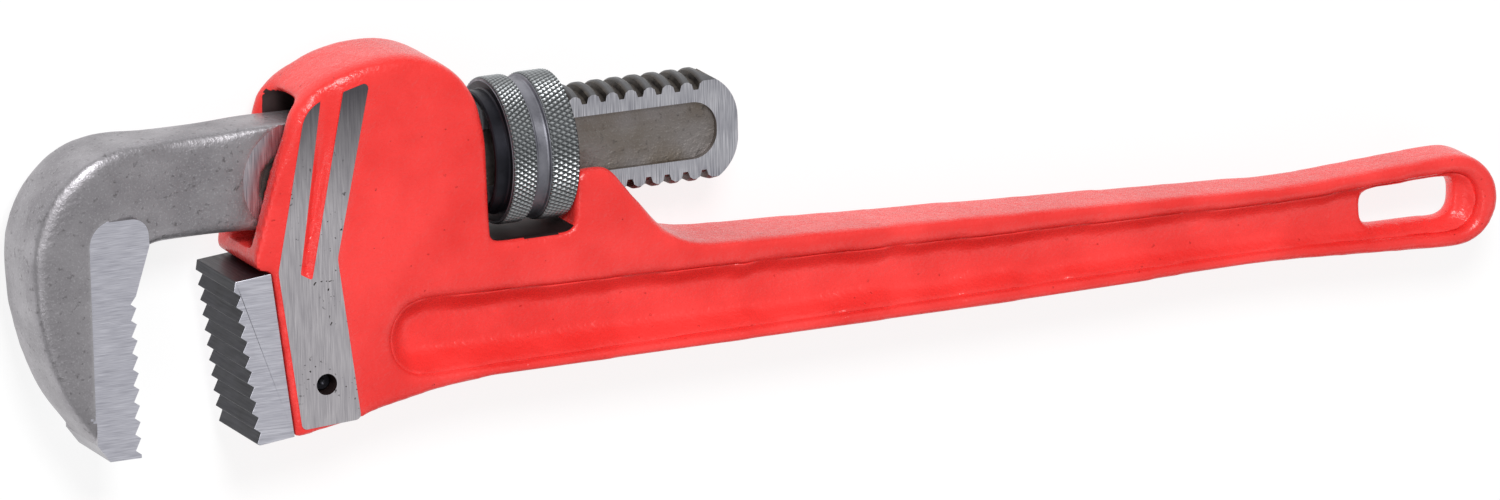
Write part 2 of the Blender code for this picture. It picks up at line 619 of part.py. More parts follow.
# ---- the heel jaw and its pin ----
def make_heel_jaw(steel):
    front, back = -HEEL_DEPTH, -TOUCH
    points = [seat(0.2 * MM, back), seat(0, front + 0.8 * MM)]
    first = 2.8 * MM
    for k in range(HEEL_TEETH):
        down = first + k * HEEL_TOOTH_PITCH
        points += [seat(down, front), seat(down + 1.66 * MM, front + HEEL_TOOTH_DEPTH)]
    points += [seat(HEEL_HEIGHT - 0.6 * MM, front + 0.3 * MM), seat(HEEL_HEIGHT, front + 1.2 * MM),
               seat(HEEL_HEIGHT, back)]
    jaw = plate("heel_jaw", points, -HEEL_WIDTH / 2, HEEL_WIDTH / 2)
    low = TENON_TOP + TENON_HEIGHT
    tongue = [seat(low, -4 * MM), seat(low, TENON_DEPTH), seat(TENON_TOP, TENON_DEPTH),
              seat(TENON_TOP, -4 * MM)]
    half = TENON_WIDTH / 2
    boolean(jaw, plate("tenon", tongue, -half, half, cutters), "UNION")
    pin = seat(PIN_DOWN, PIN_INSET)
    boolean(jaw, rod("tenon_hole", PIN_DIAMETER / 2 + PIN_CLEARANCE, -FAR, FAR, "Z", 20, pin))
    return finish(jaw, steel)


def make_pin(steel):
    half = HALF - PIN_RECESS
    pin = rod("heel_jaw_pin", PIN_DIAMETER / 2, -half, half, "Z", 20, seat(PIN_DOWN, PIN_INSET), parts)
    bevel(pin, 0.5 * MM, 1, 50)
    return finish(pin, steel)


# ---- the springs in the roof of the housing ----
def make_leaf(steel):
    """A bowed strip: one end riveted under the roof, its middle just off the shank's back."""
    fixed, free = rivet_place() + 5 * MM, MOUTH_X + 12 * MM
    high = SLOT_ROOF - TOUCH - LEAF_THICKNESS / 2
    low = SHANK_TOP + TOUCH + LEAF_THICKNESS / 2
    bend = fixed + (free - fixed) * 0.25
    steps = 11
    line = [(fixed, high)]
    for k in range(steps + 1):
        share = k / steps
        line.append((bend + (free - bend) * share, high - (high - low) * math.sin(math.pi * share)))
    half = LEAF_THICKNESS / 2
    outline = [(x, y + half) for x, y in line] + [(x, y - half) for x, y in reversed(line)]
    leaf = plate("flat_spring", outline, -LEAF_WIDTH / 2, LEAF_WIDTH / 2)
    boolean(leaf, rod("leaf_hole", RIVET_DIAMETER / 2 + TOUCH, 0, DOME_HEIGHT, "Y", 16,
                      (rivet_place(), 0)))
    return finish(leaf, steel)


def make_coil(steel):
    """A short compression spring between the pocket's floor and the leaf."""
    low = SHANK_TOP + TOUCH * 2 + LEAF_THICKNESS + COIL_WIRE / 2
    high = SLOT_ROOF + COIL_POCKET_DEPTH - TOUCH - COIL_WIRE / 2
    radius = (COIL_DIAMETER - COIL_WIRE) / 2
    per_turn = 12
    count = round(COIL_TURNS * per_turn)
    curve = bpy.data.curves.new("coil_spring", "CURVE")
    curve.dimensions = "3D"
    curve.bevel_depth = COIL_WIRE / 2
    curve.bevel_resolution = 1
    curve.use_fill_caps = True
    spline = curve.splines.new("POLY")
    spline.points.add(count)
    for k, point in enumerate(spline.points):
        a = 2 * math.pi * k / per_turn
        y = low + (high - low) * k / count
        point.co = (coil_place() + radius * math.cos(a), y, radius * math.sin(a), 1)
    wire = bpy.data.objects.new("coil_spring_wire", curve)
    return finish(curve_to_mesh(wire, "coil_spring", parts), steel)


def make_rivet(steel):
    """A rivet up through the leaf into the roof, with its head below the leaf."""
    at = (rivet_place(), 0)
    head = SLOT_ROOF - TOUCH * 2 - LEAF_THICKNESS
    rivet = rod("spring_rivet", RIVET_DIAMETER / 2, head - 0.2 * MM, SLOT_ROOF + 6.5 * MM, "Y", 16,
                at, parts)
    boolean(rivet, rod("rivet_head", RIVET_DIAMETER * 0.8, head - 1.2 * MM, head, "Y", 16, at), "UNION")
    return finish(rivet, steel)


def stand_on_floor(pieces):
    """Move the wrench so that the middle of its underside is the origin."""
    bpy.context.view_layer.update()
    graph = bpy.context.evaluated_depsgraph_get()
    lows, highs = [math.inf] * 3, [-math.inf] * 3
    for piece in pieces:
        for vertex in piece.evaluated_get(graph).data.vertices:
            place = piece.matrix_world @ vertex.co
            lows = [min(a, b) for a, b in zip(lows, place)]
            highs = [max(a, b) for a, b in zip(highs, place)]
    frame = bpy.data.objects.new("tool_frame", None)
    parts.objects.link(frame)
    for obj in pieces + list(cutters.objects):
        obj.parent = frame
    frame.location = (-(lows[0] + highs[0]) / 2, -(lows[1] + highs[1]) / 2, -lows[2])


def main():
    red = material("red_paint", (0.80, 0.03, 0.02), 0.4, 0.0)
    forged = material("forged_steel", (0.16, 0.15, 0.15), 0.5, 0.9)
    nut_steel = material("knurled_steel", (0.22, 0.23, 0.24), 0.4, 0.9)
    tooth = material("hardened_steel", (0.30, 0.30, 0.32), 0.35, 1.0)
    spring = material("spring_steel", (0.35, 0.35, 0.36), 0.35, 1.0)
    pieces = [make_handle(red), make_hook_jaw(forged), make_nut(nut_steel), make_heel_jaw(tooth),
              make_pin(spring), make_leaf(spring), make_coil(spring), make_rivet(spring)]
    stand_on_floor(pieces)


main()
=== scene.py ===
"""Pipe wrench lying on its side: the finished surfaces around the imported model.

The wrench's own directions: X runs along the handle away from the jaws, Y across it, Z through its
thickness. Places are measured from the point where the nut's rear face meets the shank's axis.
"""
import math

import bmesh
import bpy
from bpy.props import FloatProperty, FloatVectorProperty, IntProperty, PointerProperty
from mathutils import Matrix, Vector
from mathutils.kdtree import KDTree


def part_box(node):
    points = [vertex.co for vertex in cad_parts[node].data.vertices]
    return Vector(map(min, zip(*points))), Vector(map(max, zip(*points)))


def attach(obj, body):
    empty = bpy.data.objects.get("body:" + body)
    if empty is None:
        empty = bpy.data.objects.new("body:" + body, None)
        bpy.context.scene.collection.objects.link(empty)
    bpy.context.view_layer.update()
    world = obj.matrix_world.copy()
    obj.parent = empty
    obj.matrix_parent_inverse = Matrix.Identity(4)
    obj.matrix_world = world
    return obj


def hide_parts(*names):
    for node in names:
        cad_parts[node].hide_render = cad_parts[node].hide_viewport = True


bl_info = {
    "name": "Pipe wrench",
    "version": (1, 0, 0),
    "blender": (4, 5, 0),
    "location": "View3D > Sidebar > Wrench",
    "description": "Builds the castings, jaws, nut and springs of a pipe wrench",
    "category": "Object",
}

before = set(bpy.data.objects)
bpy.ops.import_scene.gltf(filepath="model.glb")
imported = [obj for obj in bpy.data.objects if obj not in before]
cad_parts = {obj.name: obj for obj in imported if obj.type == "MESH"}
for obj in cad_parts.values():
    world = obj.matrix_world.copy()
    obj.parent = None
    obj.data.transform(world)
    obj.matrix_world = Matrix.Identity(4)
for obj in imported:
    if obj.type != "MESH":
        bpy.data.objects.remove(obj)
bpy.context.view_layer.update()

MM = 0.001
FAR = 0.4             # past the end of everything
WELD = 0.001 * MM
SLIVER = 0.02 * MM    # keeps two cuts from sharing a plane
CLOSE = 0.05 * MM     # a face this near a plane belongs to it
FLAT = 0.97           # a face is flat when its normal lies this far along Z
NUT_LOW, NUT_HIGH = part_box("adjusting_nut")
AXIS = Vector((NUT_HIGH.x, (NUT_LOW.y + NUT_HIGH.y) / 2, (NUT_LOW.z + NUT_HIGH.z) / 2))

# ---- sizes of the housing, the handle and the ground pads ----
HOUSING_HALF = 15.0 * MM
GRIP_HALF, GRIP_X = 9.3 * MM, 224.9 * MM
HOLLOW_SHARE, HOLLOW_WALL = 0.6, 7.0 * MM        # the hollow's depth, and the lean of its walls
PAD_HEIGHT, PAD_SUNK = 0.6 * MM, 3.0 * MM
GROOVE_DEPTH = 1.2 * MM
MOUTH_X = -84.7 * MM
SLOT_HALF, SLOT_REACH = 10.4 * MM, 23.0 * MM
WINDOW_LEFT, WINDOW_FLOOR, WINDOW_HALF = -25.7 * MM, -22.5 * MM, 13.5 * MM
SEAT = Vector((-91.0 * MM, -22.875 * MM))
SEAT_TILT = math.radians(6.45)
PIN_DOWN, PIN_INSET = 35.1 * MM, 10.9 * MM
PIN_RADIUS, PIN_PLAY, PIN_HALF = 2.75 * MM, 0.3 * MM, 11.5 * MM

# ---- sizes of the heel jaw ----
HEEL_HALF, HEEL_HEIGHT, HEEL_DEPTH, HEEL_GAP = 14.5 * MM, 48.0 * MM, 11.9 * MM, 0.3 * MM
HEEL_TOOTH = (4.44 * MM, 1.8 * MM, 1.66 * MM)     # pitch, depth, length of the steep side
TENON_TOP, TENON_BOTTOM = 4.5 * MM, 42.5 * MM
TENON_FRONT, TENON_BACK, TENON_HALF = -4.0 * MM, 20.0 * MM, 8.7 * MM

# ---- sizes of the hook jaw ----
HOOK_EDGE, HOOK_TIP = -130.7 * MM, -72.0 * MM
HOOK_TOOTH = (4.66 * MM, 1.7 * MM, 1.2 * MM)      # pitch, depth, length of the steep side
HOOK_HALF, NECK_HALF = 13.0 * MM, 8.5 * MM
STEP_START, STEP_END = HOOK_EDGE + 3.5 * MM, HOOK_EDGE + 11.5 * MM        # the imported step
FLARE_START, FLARE_END = HOOK_EDGE - 14.0 * MM, HOOK_EDGE + 18.0 * MM     # drawn out to this
GROUND_HALF, GROUND_WIDTH, GROUND_TOP = 12.2 * MM, 13.3 * MM, -2.7 * MM
TIP = (Vector((HOOK_EDGE - 9.3 * MM, HOOK_TIP + 0.7 * MM)),       # ends of the slanting side
       Vector((HOOK_EDGE - 12.9 * MM, HOOK_TIP + 5.7 * MM)))
SHANK_END, SHANK_HALF = 53.3 * MM, 7.5 * MM
FLAT_START, FLAT_LOW, FLAT_HIGH = MOUTH_X - 11.5 * MM, -15.3 * MM, 17.8 * MM
FLAT_ROUND = 16.4 * MM
POCKET_START, POCKET_END = FLAT_START + 6.0 * MM, SHANK_END - 6.4 * MM
POCKET_HALF, POCKET_DEPTH, POCKET_ROUND = 8.2 * MM, 2.0 * MM, 7.5 * MM

# ---- sizes of the thread ----
THREAD_RADIUS, THREAD_DEPTH = 15.875 * MM, 2.0 * MM
THREAD_PITCH = 25.4 / 4.5 * MM
THREAD_ROOT, THREAD_MOUTH = 1.5 * MM, 2.9 * MM    # width of the cut at its floor and at its top
THREAD_SLOPE = (THREAD_MOUTH - THREAD_ROOT) / THREAD_DEPTH
THREAD_START = -51.0 * MM
THREAD_PHASE = 0.9 * MM

# ---- sizes of the nut ----
NUT_RADIUS, NUT_WIDTH, NUT_BORE = 21.0 * MM, 20.0 * MM, 14.225 * MM
HUB_RADIUS, HUB_LENGTH = 17.5 * MM, 4.0 * MM
BAND_WIDTH, BAND_CHAMFER, BAND_GROOVE = 8.0 * MM, 0.7 * MM, 1.6 * MM
NUT_CLEARANCE = 0.35 * MM


# ---------------------------------------------------------------- settings
def linear(code):
    """An sRGB hex colour as linear red, green, blue, 1."""
    parts = [int(code[k:k + 2], 16) / 255 for k in (1, 3, 5)]
    return (*[c / 12.92 if c <= 0.04045 else ((c + 0.055) / 1.055) ** 2.4 for c in parts], 1.0)


class WrenchSettings(bpy.types.PropertyGroup):
    """Sizes and colours that a user would change."""
    knurl_around: IntProperty(name="Knurls around", default=84, min=20, max=160,
                              description="Diamonds around each band of the nut")
    knurl_along: IntProperty(name="Knurls along", default=3, min=1, max=8,
                             description="Diamonds across each band of the nut")
    knurl_depth: FloatProperty(name="Knurl depth", description="Height of one diamond",
                               default=0.62 * MM, unit="LENGTH", subtype="DISTANCE")
    casting_grain: FloatProperty(name="Casting grain", description="Size of the soft cast form",
                                 default=0.95 * MM, unit="LENGTH", subtype="DISTANCE")
    forging_grain: FloatProperty(name="Forging grain", description="Size of the forging's mesh",
                                 default=0.75 * MM, unit="LENGTH", subtype="DISTANCE")
    paint: FloatVectorProperty(name="Paint", description="Colour of the enamel", subtype="COLOR",
                               size=3, min=0, max=1, default=linear("#F8413E")[:3])
    floor: FloatVectorProperty(name="Floor", description="Colour of the studio floor",
                               subtype="COLOR", size=3, min=0, max=1, default=linear("#F6F6F6")[:3])


# ---------------------------------------------------------------- outlines and solids
def fillet(corners, step=math.radians(6)):
    """Corners (x, y, radius) to points, each corner rounded by an arc tangent to both sides."""
    points = []
    count = len(corners)
    for i, (x, y, radius) in enumerate(corners):
        px, py, _ = corners[i - 1]
        nx, ny, _ = corners[(i + 1) % count]
        into = math.atan2(y - py, x - px)
        turn = (math.atan2(ny - y, nx - x) - into + math.pi) % (2 * math.pi) - math.pi
        if radius == 0 or abs(turn) < 1e-4:
            points.append((x, y))
            continue
        side = math.copysign(1, turn)
        reach = radius * math.tan(abs(turn) / 2)
        sx, sy = x - reach * math.cos(into), y - reach * math.sin(into)
        cx, cy = sx - side * radius * math.sin(into), sy + side * radius * math.cos(into)
        pieces = max(1, math.ceil(abs(turn) / step))
        for k in range(pieces + 1):
            a = into - side * math.pi / 2 + turn * k / pieces
            points.append((cx + radius * math.cos(a), cy + radius * math.sin(a)))
    return [p for k, p in enumerate(points) if math.dist(p, points[k - 1]) > 0.01 * MM]


def seat(down, back):
    """A place in the heel jaw's own directions: down its seat, and back into the housing."""
    s, c = math.sin(SEAT_TILT), math.cos(SEAT_TILT)
    return (SEAT.x + s * down + c * back, SEAT.y - c * down + s * back)


def casting_half(x):
    """Half the thickness of the casting, which thins towards the grip."""
    share = min(max((x - WINDOW_LEFT) / (GRIP_X - WINDOW_LEFT), 0), 1)
    return HOUSING_HALF + (GRIP_HALF - HOUSING_HALF) * share


def evaluated_mesh(obj):
    """The mesh of an object with its modifiers applied."""
    bpy.context.view_layer.update()
    graph = bpy.context.evaluated_depsgraph_get()
    return bpy.data.meshes.new_from_object(obj.evaluated_get(graph))


def new_object(name, mesh):
    obj = bpy.data.objects.new(name, mesh)
    bpy.context.scene.collection.objects.link(obj)
    return obj


def drop(obj):
    """Remove an object and the mesh or curve it used."""
    data = obj.data
    bpy.data.objects.remove(obj)
    if data.users == 0:
        (bpy.data.meshes if isinstance(data, bpy.types.Mesh) else bpy.data.curves).remove(data)


def tidy(mesh, shift=None):
    """Weld a mesh, turn its faces outwards and shift it into the model's place."""
    bm = bmesh.new()
    bm.from_mesh(mesh)
    bmesh.ops.remove_doubles(bm, verts=bm.verts, dist=WELD)
    bmesh.ops.recalc_face_normals(bm, faces=bm.faces)
    if shift is not None:
        bmesh.ops.translate(bm, verts=bm.verts, vec=shift)
    bm.to_mesh(mesh)
    bm.free()
    return mesh


def plate(name, points, low, high):
    """A flat outline in the wrench's directions made solid between two heights."""
    curve = bpy.data.curves.new(name, "CURVE")
    curve.dimensions = "2D"
    curve.fill_mode = "BOTH"
    curve.extrude = (high - low) / 2
    spline = curve.splines.new("POLY")
    spline.points.add(len(points) - 1)
    for point, (x, y) in zip(spline.points, points):
        point.co = (x, y, 0, 1)
    spline.use_cyclic_u = True
    flat = new_object(name + "_outline", curve)
    mesh = tidy(evaluated_mesh(flat), AXIS + Vector((0, 0, (low + high) / 2)))
    drop(flat)
    return new_object(name, mesh)


def turned(name, profile, steps, axis="X", at=Vector()):
    """A closed profile of (along, radius) points turned round an axis through a place."""
    bm = bmesh.new()
    angles = [2 * math.pi * k / steps for k in range(steps)]
    rings = []
    for x, radius in profile:
        if radius == 0:
            rings.append([bm.verts.new((x, 0, 0))] * steps)
        else:
            rings.append([bm.verts.new((x, radius * math.cos(a), radius * math.sin(a)))
                          for a in angles])
    for k, ring in enumerate(rings):
        for n in range(steps):
            corners = dict.fromkeys((rings[k - 1][n - 1], rings[k - 1][n], ring[n], ring[n - 1]))
            if len(corners) > 2:
                bm.faces.new(corners)
    bmesh.ops.recalc_face_normals(bm, faces=bm.faces)
    turn = {"X": Matrix(), "Y": Matrix.Rotation(math.pi / 2, 4, "Z"),
            "Z": Matrix.Rotation(-math.pi / 2, 4, "Y")}[axis]
    bmesh.ops.transform(bm, verts=bm.verts, matrix=Matrix.Translation(AXIS + at) @ turn)
    mesh = bpy.data.meshes.new(name)
    bm.to_mesh(mesh)
    bm.free()
    return new_object(name, mesh)


def pin_place():
    """Where the heel jaw's pin stands."""
    return Vector((*seat(PIN_DOWN, PIN_INSET), 0))


def drill(obj):
    """Cut the pin's hole through a piece."""
    wide = PIN_RADIUS + PIN_PLAY
    bit = turned("hole", [(-FAR, 0), (-FAR, wide), (FAR, wide), (FAR, 0)], 48, "Z", pin_place())
    combine(obj, bit, "DIFFERENCE")


def shape(obj, kind, **settings):
    """Apply one modifier to an object at once."""
    mod = obj.modifiers.new(kind.title(), kind)
    for key, value in settings.items():
        setattr(mod, key, value)
    mesh = evaluated_mesh(obj)
    old = obj.data
    obj.modifiers.clear()
    obj.data = mesh
    bpy.data.meshes.remove(old)
    return obj


def combine(obj, tool, operation):
    """Join, cut or intersect two closed solids, and remove the second."""
    shape(obj, "BOOLEAN", operation=operation, solver="MANIFOLD", object=tool)
    if not obj.data.polygons:
        raise RuntimeError(f"{obj.name}: {operation} with {tool.name} left nothing")
    drop(tool)
    return obj


def cad_copy(name, node):
    """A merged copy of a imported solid."""
    return new_object(name, tidy(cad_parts[node].data.copy()))


def soften(obj, weight, times, group="softer"):
    """Smooth a dense mesh where a function of the place gives weight."""
    made = obj.vertex_groups.new(name=group)
    for vertex in obj.data.vertices:
        share = weight(vertex.co - AXIS)
        if share > 0.01:
            made.add([vertex.index], share, "REPLACE")
    shape(obj, "SMOOTH", factor=0.5, iterations=times, vertex_group=group)
    obj.vertex_groups.clear()


def ramp(value, start, end):
    """0 before the start, 1 after the end, with a soft change between."""
    share = min(max((value - start) / (end - start), 0), 1)
    return share * share * (3 - 2 * share)


def shade(obj, angle=35):
    obj.data.shade_smooth()
    obj.data.set_sharp_from_angle(angle=math.radians(angle))


def finish_piece(obj, body, materials, pick, nodes, angle=35):
    """Give a piece its materials by face, its body and the solids it stands for."""
    mesh = obj.data
    mesh.materials.clear()
    for mat in materials:
        mesh.materials.append(mat)
    for face in mesh.polygons:
        face.material_index = pick(face.center - AXIS, face.normal) if pick else 0
    shade(obj, angle)
    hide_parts(*nodes)
    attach(obj, body)
    return obj


# ---------------------------------------------------------------- node helpers
def add(tree, kind, inputs=None, **settings):
    """Add a node with its settings, values and links.

    An input is named or numbered, and takes a value, a socket, or a node's first output in use.
    """
    made = tree.nodes.new(kind)
    for key, value in settings.items():
        setattr(made, key, value)
    for key, value in (inputs or {}).items():
        if isinstance(key, str):
            key = next(k for k, s in enumerate(made.inputs) if s.enabled and s.name == key)
        if isinstance(value, bpy.types.Node):
            value = next(s for s in value.outputs if s.enabled)
        if isinstance(value, bpy.types.NodeSocket):
            tree.links.new(value, made.inputs[key])
        else:
            made.inputs[key].default_value = value
    return made


def geometry_tree(name, sizes):
    """An empty Geometry Nodes tree with named number inputs, and its input sockets by name."""
    tree = bpy.data.node_groups.new(name, "GeometryNodeTree")
    tree.interface.new_socket("Geometry", in_out="OUTPUT", socket_type="NodeSocketGeometry")
    for label in sizes:
        kind = "NodeSocketInt" if label.startswith("Count") else "NodeSocketFloat"
        tree.interface.new_socket(label, in_out="INPUT", socket_type=kind)
    return tree, dict(add(tree, "NodeGroupInput").outputs.items())


def geometry_end(tree, geometry, mat):
    """End a tree in Realize Instances and Set Material."""
    real = add(tree, "GeometryNodeRealizeInstances", {"Geometry": geometry})
    painted = add(tree, "GeometryNodeSetMaterial", {"Geometry": real, "Material": mat})
    add(tree, "NodeGroupOutput", {"Geometry": painted})


def grow(name, tree, values, place):
    """Run a tree with its named values, and give the result as a plain mesh in place."""
    host = new_object(name + "_host", bpy.data.meshes.new(name + "_host"))
    mod = host.modifiers.new("Grow", "NODES")
    mod.node_group = tree
    for item in tree.interface.items_tree:
        if item.in_out == "INPUT" and item.name in values:
            mod[item.identifier] = values[item.name]
    mesh = evaluated_mesh(host)
    drop(host)
    mesh.transform(Matrix.Translation(AXIS) @ place)
    return new_object(name, tidy(mesh))


def coil_tree(mat):
    """A closed bar of four-cornered section wound round X."""
    tree, known = geometry_tree("coil", ["Turns", "Pitch", "Inner radius", "Outer radius",
                                         "Inner width", "Outer width", "Count per turn"])
    known["index"] = add(tree, "GeometryNodeInputIndex")
    for result, operation, *values in (
            ("height", "MULTIPLY", "Turns", "Pitch"),
            # the bar is a tube of four sides, whose corners are then set by the side they are on
            ("corner", "MODULO", "index", 4.0),
            ("quarter", "DIVIDE", "index", 4.0),
            ("ring", "FLOOR", "quarter"),
            ("turn", "DIVIDE", "ring", "Count per turn"),
            ("angle", "MULTIPLY", "turn", 2 * math.pi),
            ("past middle", "SUBTRACT", "corner", 1.5),
            ("off middle", "ABSOLUTE", "past middle"),
            ("outer", "LESS_THAN", "off middle", 1.0),
            ("right", "GREATER_THAN", "corner", 1.5),
            ("side", "SUBTRACT", "right", 0.5),
            ("rise", "SUBTRACT", "Outer radius", "Inner radius"),
            ("risen", "MULTIPLY", "rise", "outer"),
            ("radius", "ADD", "Inner radius", "risen"),
            ("spread", "SUBTRACT", "Outer width", "Inner width"),
            ("spread out", "MULTIPLY", "spread", "outer"),
            ("width", "ADD", "Inner width", "spread out"),
            ("advance", "MULTIPLY", "turn", "Pitch"),
            ("to side", "MULTIPLY", "side", "width"),
            ("along", "ADD", "advance", "to side"),
            ("cosine", "COSINE", "angle"),
            ("sine", "SINE", "angle"),
            ("across", "MULTIPLY", "radius", "cosine"),
            ("up", "MULTIPLY", "radius", "sine")):
        inputs = {k: known.get(value, value) for k, value in enumerate(values)}
        known[result] = add(tree, "ShaderNodeMath", inputs, operation=operation)
    path = add(tree, "GeometryNodeCurveSpiral", {
        "Resolution": known["Count per turn"], "Rotations": known["Turns"], "Start Radius": 1.0,
        "End Radius": 1.0, "Height": known["height"]})
    straight = add(tree, "GeometryNodeSetCurveNormal", {"Curve": path}, mode="Z_UP")
    profile = add(tree, "GeometryNodeCurvePrimitiveQuadrilateral", {"Width": 0.1, "Height": 0.1})
    bar = add(tree, "GeometryNodeCurveToMesh", {"Curve": straight, "Profile Curve": profile,
                                                "Fill Caps": True})
    place = add(tree, "ShaderNodeCombineXYZ", {"X": known["along"], "Y": known["across"],
                                               "Z": known["up"]})
    moved = add(tree, "GeometryNodeSetPosition", {"Geometry": bar, "Position": place})
    geometry_end(tree, moved, mat)
    return tree


def knurl_tree(mat):
    """A closed ring round X whose outside is covered in diamonds."""
    tree, known = geometry_tree("knurl", ["Width", "Inner radius", "Root radius", "Depth",
                                          "Count around", "Count along", "Count steps"])
    spot = add(tree, "ShaderNodeSeparateXYZ", {0: add(tree, "GeometryNodeInputPosition")})
    known.update({"X": spot.outputs["X"], "Y": spot.outputs["Y"]})
    for result, operation, *values in (
            ("around", "MULTIPLY", "Count around", "Count steps"),
            ("along", "MULTIPLY", "Count along", "Count steps"),
            ("columns", "ADD", "around", 1.0),
            ("rows", "ADD", "along", 4.0),
            ("u", "ADD", "X", 0.5),
            ("v", "ADD", "Y", 0.5),
            ("last row", "SUBTRACT", "rows", 1.0),
            ("row place", "MULTIPLY", "v", "last row"),
            ("row", "ROUND", "row place"),
            # the first row and the last two close the ring on its inside
            ("outer row", "SUBTRACT", "row", 1.0),
            ("outer share", "DIVIDE", "outer row", "along"),
            ("above", "MAXIMUM", "outer share", 0.0),
            ("held", "MINIMUM", "above", 1.0),
            ("far edge", "ADD", "along", 2.5),
            ("back at start", "GREATER_THAN", "row", "far edge"),
            ("not back", "SUBTRACT", 1.0, "back at start"),
            ("share", "MULTIPLY", "held", "not back"),
            ("is first", "LESS_THAN", "row", 0.5),
            ("near edge", "ADD", "along", 1.5),
            ("is last", "GREATER_THAN", "row", "near edge"),
            ("inner", "MAXIMUM", "is first", "is last"),
            # two sets of slanting ridges cross, and the lower one at each place is the surface
            ("p", "MULTIPLY", "u", "Count around"),
            ("q", "MULTIPLY", "share", "Count along"),
            ("right slant", "ADD", "p", "q"),
            ("left slant", "SUBTRACT", "p", "q"),
            ("left slant up", "ADD", "left slant", 1000.0),
            ("right wave", "PINGPONG", "right slant", 0.5),
            ("right ridge", "MULTIPLY", "right wave", 2.0),
            ("left wave", "PINGPONG", "left slant up", 0.5),
            ("left ridge", "MULTIPLY", "left wave", 2.0),
            ("diamond", "MINIMUM", "right ridge", "left ridge"),
            ("worn diamond", "MINIMUM", "diamond", 0.86),
            ("edge wave", "PINGPONG", "share", 0.5),
            ("edge ridge", "MULTIPLY", "edge wave", 2.0),
            ("edge", "MULTIPLY", "edge ridge", 9.0),
            ("height", "MINIMUM", "worn diamond", "edge"),
            ("raised", "MULTIPLY", "height", "Depth"),
            ("outside", "ADD", "Root radius", "raised"),
            ("to inside", "SUBTRACT", "outside", "Inner radius"),
            ("fall", "MULTIPLY", "inner", "to inside"),
            ("radius", "SUBTRACT", "outside", "fall"),
            ("angle", "MULTIPLY", "u", 2 * math.pi),
            ("cosine", "COSINE", "angle"),
            ("sine", "SINE", "angle"),
            ("out", "MULTIPLY", "share", "Width"),
            ("across", "MULTIPLY", "radius", "cosine"),
            ("up", "MULTIPLY", "radius", "sine")):
        inputs = {k: known.get(value, value) for k, value in enumerate(values)}
        known[result] = add(tree, "ShaderNodeMath", inputs, operation=operation)
    sheet = add(tree, "GeometryNodeMeshGrid", {"Size X": 1.0, "Size Y": 1.0,
                                               "Vertices X": known["columns"],
                                               "Vertices Y": known["rows"]})
    place = add(tree, "ShaderNodeCombineXYZ", {"X": known["out"], "Y": known["across"],
                                               "Z": known["up"]})
    moved = add(tree, "GeometryNodeSetPosition", {"Geometry": sheet, "Position": place})
    welded = add(tree, "GeometryNodeMergeByDistance", {"Geometry": moved, "Distance": WELD})
    geometry_end(tree, welded, mat)
    return tree


def spring_tree(mat):
    """A round wire wound round Z."""
    tree, known = geometry_tree("spring", ["Turns", "Height", "Radius", "Wire radius"])
    path = add(tree, "GeometryNodeCurveSpiral", {
        "Resolution": 32, "Rotations": known["Turns"], "Start Radius": known["Radius"],
        "End Radius": known["Radius"], "Height": known["Height"]})
    profile = add(tree, "GeometryNodeCurvePrimitiveCircle", {"Resolution": 12,
                                                             "Radius": known["Wire radius"]})
    wire = add(tree, "GeometryNodeCurveToMesh", {"Curve": path, "Profile Curve": profile,
                                                 "Fill Caps": True})
    geometry_end(tree, wire, mat)
    return tree


# ---------------------------------------------------------------- materials
def new_material(name, metallic, patterns=()):
    """Start a material, and give it with the noises that it uses.

    Each noise is the size of its features in millimetres and its detail, and where it is drawn
    out into lines also a turn about Z and a stretch along X, Y, Z.
    """
    mat = bpy.data.materials.new(name)
    mat.use_nodes = True
    tree = mat.node_tree
    tree.nodes["Principled BSDF"].inputs["Metallic"].default_value = metallic
    place = add(tree, "ShaderNodeTexCoord").outputs["Object"]
    noises = []
    for size, detail, *drawn in patterns:
        spot = place
        if drawn:
            spot = add(tree, "ShaderNodeMapping", {"Vector": place, "Rotation": (0, 0, drawn[0]),
                                                   "Scale": drawn[1]})
        noises.append(add(tree, "ShaderNodeTexNoise", {"Vector": spot, "Scale": 1 / (size * MM),
                                                       "Detail": detail}))
    return mat, noises


def surface(mat, base, layers, roughness, bumps=()):
    """Give a material its colours, roughness and bumps.

    A layer lays its colour over what is below it, rising from none to its most while a pattern
    goes from one value to another. Roughness is one number or goes by a pattern in the same way,
    from one value to another. Bumps are patterns with depths in millimetres, each on the last.
    """
    tree = mat.node_tree
    shader = tree.nodes["Principled BSDF"]
    color = base
    for pattern, start, end, most, over in layers:
        share = add(tree, "ShaderNodeMapRange", {"Value": pattern, "From Min": start,
                                                 "From Max": end, "To Max": most})
        color = add(tree, "ShaderNodeMix", {"Factor": share, "A": color, "B": over},
                    data_type="RGBA")
    tree.links.new(color.outputs[2], shader.inputs["Base Color"])
    if isinstance(roughness, float):
        shader.inputs["Roughness"].default_value = roughness
    else:
        pattern, start, end, smooth, dull = roughness
        rough = add(tree, "ShaderNodeMapRange", {"Value": pattern, "From Min": start,
                                                 "From Max": end, "To Min": smooth, "To Max": dull})
        tree.links.new(rough.outputs[0], shader.inputs["Roughness"])
    below = {}
    for pattern, depth in bumps:
        bump = add(tree, "ShaderNodeBump", {"Height": pattern, "Distance": depth * MM,
                                            "Strength": 1.0, **below})
        below = {"Normal": bump}
    if below:
        tree.links.new(bump.outputs[0], shader.inputs["Normal"])
    return mat


def axis_distance(tree):
    """How far each place on a piece is from the shank's axis."""
    place = add(tree, "ShaderNodeTexCoord").outputs["Object"]
    across = add(tree, "ShaderNodeMapping", {"Vector": place, "Location": (0, -AXIS.y, -AXIS.z),
                                             "Scale": (0, 1, 1)})
    return add(tree, "ShaderNodeVectorMath", {0: across}, operation="LENGTH")


